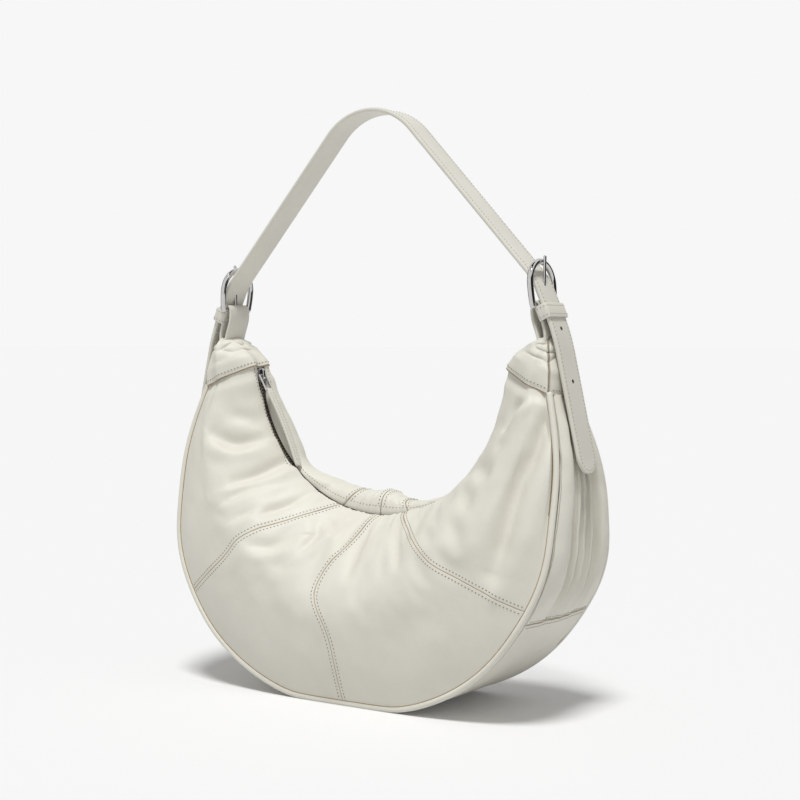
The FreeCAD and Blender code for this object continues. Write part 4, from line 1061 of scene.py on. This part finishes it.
for side, word in ENDS:
    # tail: the free end of the strap with two holes and a round tip
    path = rounded_path([KEEPER, PIVOT, PIVOT + TAIL_WAY * TAIL_LENGTH], 16.0)
    line = on_end(even(flat(path), 150), side)
    gone = np.linalg.norm(line - line[-1], axis=1)
    tip = 2 * np.sqrt(np.clip(TAIL_ROUND ** 2 - (TAIL_ROUND - gone) ** 2, 1.2, None))
    widths = np.where(gone < TAIL_ROUND, tip, STRAP_WIDTH)
    way, across, lift = strip_axes(line)
    lift = lift * side
    mesh = Mesh()
    sweep(mesh, line, across, lift,
          np.stack([flat_section(w, STRAP_THICK, min(STRAP_ROUND, w * 0.45)) for w in widths]))
    obj = mesh.build(word + "_tail_strip", (STRAP, PALE_THREAD_WITH_HOLE_SHADE, HOLE))
    for at in (PIVOT + TAIL_WAY * 36.0, PIVOT - RUN_WAY * 2.7):
        hole_cut(obj, on_end(flat([at]), side)[0], np.array((side * 0.95, 0, 0.25)))
    thread = Mesh()
    keep = (gone > 10.6) & (np.arange(len(line)) > 2)
    turn = np.linspace(-np.pi / 2, np.pi / 2, 40)[:, None]
    arc = line[np.argmin(np.abs(gone - TAIL_ROUND))] + across[-1] * (STITCH_EDGE * np.sin(turn))
    arc = arc + way[-1] * (STITCH_EDGE * np.cos(turn))
    for face in (1, -1):
        edge_stitches(thread, line[keep], across[keep], lift[keep], face, 0)
        stitch_row(thread, arc + lift[-1] * face * STRAP_THICK / 2,
                   np.repeat(lift[-1:] * face, len(arc), 0), 0)
    seams = thread.build(word + "_tail_stitching", (PALE_THREAD_WITH_HOLE_SHADE,))
    low = (KEEPER + RUN_WAY * 6) * MM
    high = (PIVOT + TAIL_WAY * 11) * MM
    for thing in (obj, seams):
        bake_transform(thing)
    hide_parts(word + "_strap_tail")

    # chape: strip over the bar with both ends in the cap
    path = [(SLOT_X - 1.4, CHAPE_FOOT), (SLOT_X - 2.6, 273.0), (BAR[0] - 3.3, BAR[1] - 5.0)]
    path += [(BAR[0] - CHAPE_BEND * math.cos(t), BAR[1] + CHAPE_BEND * math.sin(t))
             for t in np.linspace(0, math.pi, 9)]
    path += [(BAR[0] + 3.4, BAR[1] - 4.0), (SLOT_X + 2.6, 277.5), (SLOT_X + 2.0, CHAPE_FOOT)]
    line = on_end(even(flat(curve(path, 140)), 120), side)
    mesh = Mesh()
    sweep(mesh, line, *strip_axes(line)[1:], round_box(CHAPE_WIDTH, CHAPE_THICK, 0.8))
    obj = mesh.build(word + "_chape_strip", (STRAP,))
    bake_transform(obj)
    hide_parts(word + "_chape")

    # keeper: loop round the strap and the outer chape leg
    hold = KEEPER - RUN_WAY * 3.4
    low, high = KEEPER_LOW + KEEPER_CORNER, KEEPER_HIGH - KEEPER_CORNER
    wide = KEEPER_HALF - KEEPER_CORNER
    loop = []
    for cx, cy, begin in ((high, wide, 0), (low, wide, 90), (low, -wide, 180), (high, -wide, 270)):
        for t in np.radians(np.linspace(begin, begin + 90, 9)):
            loop.append((cx + KEEPER_CORNER * math.cos(t), cy + KEEPER_CORNER * math.sin(t)))
    loop = even(np.array(loop + loop[:1]), 121)[:-1]
    line = flat(hold + loop[:, :1] * RUN_OUT)
    line[:, 1] = loop[:, 1]
    up = np.repeat(flat([-RUN_WAY]), len(line), 0)
    out = np.cross(unit(np.roll(line, -1, 0) - np.roll(line, 1, 0)), up)
    line, up, out = (on_end(v, side) for v in (line, up, out))
    mesh = Mesh()
    sweep(mesh, line, up, out, round_box(11.0, 1.6, 0.6), closed=True)
    line, up, out = (np.vstack((v, v[:1])) for v in (line, up, out))
    for edge in (-3.3, 3.3):
        stitch_row(mesh, line + up * edge + out * 0.8, out, 1)
    obj = mesh.build(word + "_keeper_loop", (STRAP, PALE_THREAD_WITH_HOLE_SHADE))
    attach(obj, word + "_keeper")
    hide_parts(word + "_keeper")


# ---- metal that keeps its solid

for name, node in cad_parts.items():
    finish = None
    if "buckle" in name or "prong" in name or name == "pull_link":
        finish = CHROME
    elif name in ("front_zip_teeth", "back_zip_teeth", "zip_stop"):
        finish = NICKEL
    if finish:
        node.data.materials.clear()
        node.data.materials.append(finish)


# ---- lining

for back, word, _ in SIDES:
    for part, low, high in (("left", edge_left, seam_left), ("lower", seam_left, seam_right),
                            ("right", seam_right, edge_right)):
        across = np.linspace(0.02, 0.955, 50)
        a = np.clip(between(low, high, np.linspace(0, 1, 60), across), -0.97, 0.97)
        points, up = on_panel(back, a, np.broadcast_to(across, a.shape))
        mesh = leather(Mesh(), points - up * LINING_UNDER, 0.7, 0.3, (0.0, 0.0), flip=back)
        obj = mesh.build("lining_%s_%s_cloth" % (word, part), (LINING,))
        mouth_blend(obj)
        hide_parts("lining_" + word)
for name, low, high in (("lining_left", -0.985, -0.5), ("lining_bottom", -0.5, 0.5),
                        ("lining_right", 0.5, 0.985)):
    a, s = grid_of(np.linspace(low, high, 60), np.linspace(-1, 1, 30))
    inward = LINING_UNDER + 9.5 * smooth(60, 115, outer(a)[1])
    grid = in_section(a, inward, (half_depth(a) - 8) * s)
    obj = leather(Mesh(), grid, 0.7, 0.3, (0.0, 0.0), flip=True).build(name + "_cloth", (LINING,))
    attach(obj, "shell")
    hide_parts(name)


# ---- floor, light and camera

def light_path_mix(tree, shown, lighting):
    """Shader seen by the camera and in metal, and the one that lights the scene."""
    nodes, links = tree.nodes, tree.links
    path = nodes.new("ShaderNodeLightPath")
    some = path.outputs["Is Camera Ray"]
    for ray in ("Is Glossy Ray", "Is Transmission Ray"):
        add = nodes.new("ShaderNodeMath")
        add.operation = "MAXIMUM"
        links.new(some, add.inputs[0])
        links.new(path.outputs[ray], add.inputs[1])
        some = add.outputs[0]
    mix = nodes.new("ShaderNodeMixShader")
    links.new(some, mix.inputs[0])
    links.new(lighting, mix.inputs[1])
    links.new(shown, mix.inputs[2])
    return mix.outputs[0]


# Light of the world and the floor's own glow; the key light is a sun with an angle in degrees.
BACKGROUND, WORLD_LIGHT, FLOOR_GLOW, FLOOR_HALF = linear(247, 247, 247), 0.38, 0.045, 40
KEY_ENERGY, KEY_ANGLE, KEY_TURN = 2.385, 15, (17.5, 8.4, 0)
# Camera as fitted to the picture: place in metres, turn in degrees, sensor and lens in millimetres.
CAMERA_PLACE, CAMERA_TURN = (0.6997, -1.0056, 0.2738), (90 - 2.2173, 0, 34.1083)
SENSOR, LENS = 36, 72

world = bpy.data.worlds.new("studio")
bpy.context.scene.world = world
world.use_nodes = True
tree = world.node_tree
tree.nodes.clear()
shown = set_inputs(tree.nodes.new("ShaderNodeBackground"), Color=(*BACKGROUND, 1))
lighting = set_inputs(tree.nodes.new("ShaderNodeBackground"), Color=(1, 1, 1, 1),
                      Strength=WORLD_LIGHT)
out = tree.nodes.new("ShaderNodeOutputWorld")
tree.links.new(light_path_mix(tree, shown.outputs[0], lighting.outputs[0]), out.inputs["Surface"])


def square_mesh(name, corners, finish):
    """Mesh of one four-sided face."""
    mesh = bpy.data.meshes.new(name)
    mesh.from_pydata(corners, [], [(0, 1, 2, 3)])
    mesh.materials.append(finish)
    return mesh


CORNERS = ((-1, -1), (1, -1), (1, 1), (-1, 1))
m, nodes, links, shader = material("floor_mat")
bounce = set_inputs(nodes.new("ShaderNodeBsdfDiffuse"), Color=(0.75, 0.75, 0.75, 1))
set_inputs(shader, Base_Color=(0.80, 0.80, 0.80, 1), Roughness=1.0, Specular_IOR_Level=0.0)
glow = set_inputs(nodes.new("ShaderNodeEmission"), Strength=FLOOR_GLOW)
both = nodes.new("ShaderNodeAddShader")
links.new(shader.outputs[0], both.inputs[0])
links.new(glow.outputs[0], both.inputs[1])
links.new(light_path_mix(m.node_tree, both.outputs[0], bounce.outputs[0]),
          nodes["Material Output"].inputs["Surface"])
corners = [(w * FLOOR_HALF, h * FLOOR_HALF, 0) for w, h in CORNERS]
floor = add_object("floor", square_mesh("floor", corners, m))
floor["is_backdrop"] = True

CARD, _, _, shader = material("card_mat")
set_inputs(shader, Base_Color=(0.015, 0.015, 0.015, 1), Roughness=0.9)
# Black studio cards, seen in the metal only: place, width and height in metres.
for name, place, width, height in (("card_right", (1.5, 1.0, 0.45), 2.9, 2.0),
                                   ("card_front", (1.75, -0.6, 0.5), 1.3, 1.7),
                                   ("card_left", (-1.7, 0.3, 0.5), 1.3, 1.6),
                                   ("card_top", (0.1, -0.15, 1.9), 1.3, 1.3)):
    place = np.array(place)
    look = unit(np.array((0, 0, 0.25)) - place)
    side = unit(np.cross(look, (0, 0, 1.0)))
    up = np.cross(side, look)
    corners = [tuple(place + side * w * width / 2 + up * h * height / 2) for w, h in CORNERS]
    card = add_object(name, square_mesh(name, corners, CARD))
    card.visible_camera = card.visible_diffuse = card.visible_shadow = False
    card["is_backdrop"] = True

key = bpy.data.lights.new("key", "SUN")
key.energy, key.angle = KEY_ENERGY, math.radians(KEY_ANGLE)
add_object("key", key).rotation_euler = np.radians(KEY_TURN)

camera = bpy.data.cameras.new("camera")
camera.sensor_width, camera.lens = SENSOR, LENS
camera.clip_start, camera.clip_end = 0.05, 60
camera_obj = add_object("camera", camera)
camera_obj.location, camera_obj.rotation_euler = CAMERA_PLACE, np.radians(CAMERA_TURN)
bpy.context.scene.camera = camera_obj
bpy.context.scene.view_settings.view_transform = "Standard"

low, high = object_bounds()
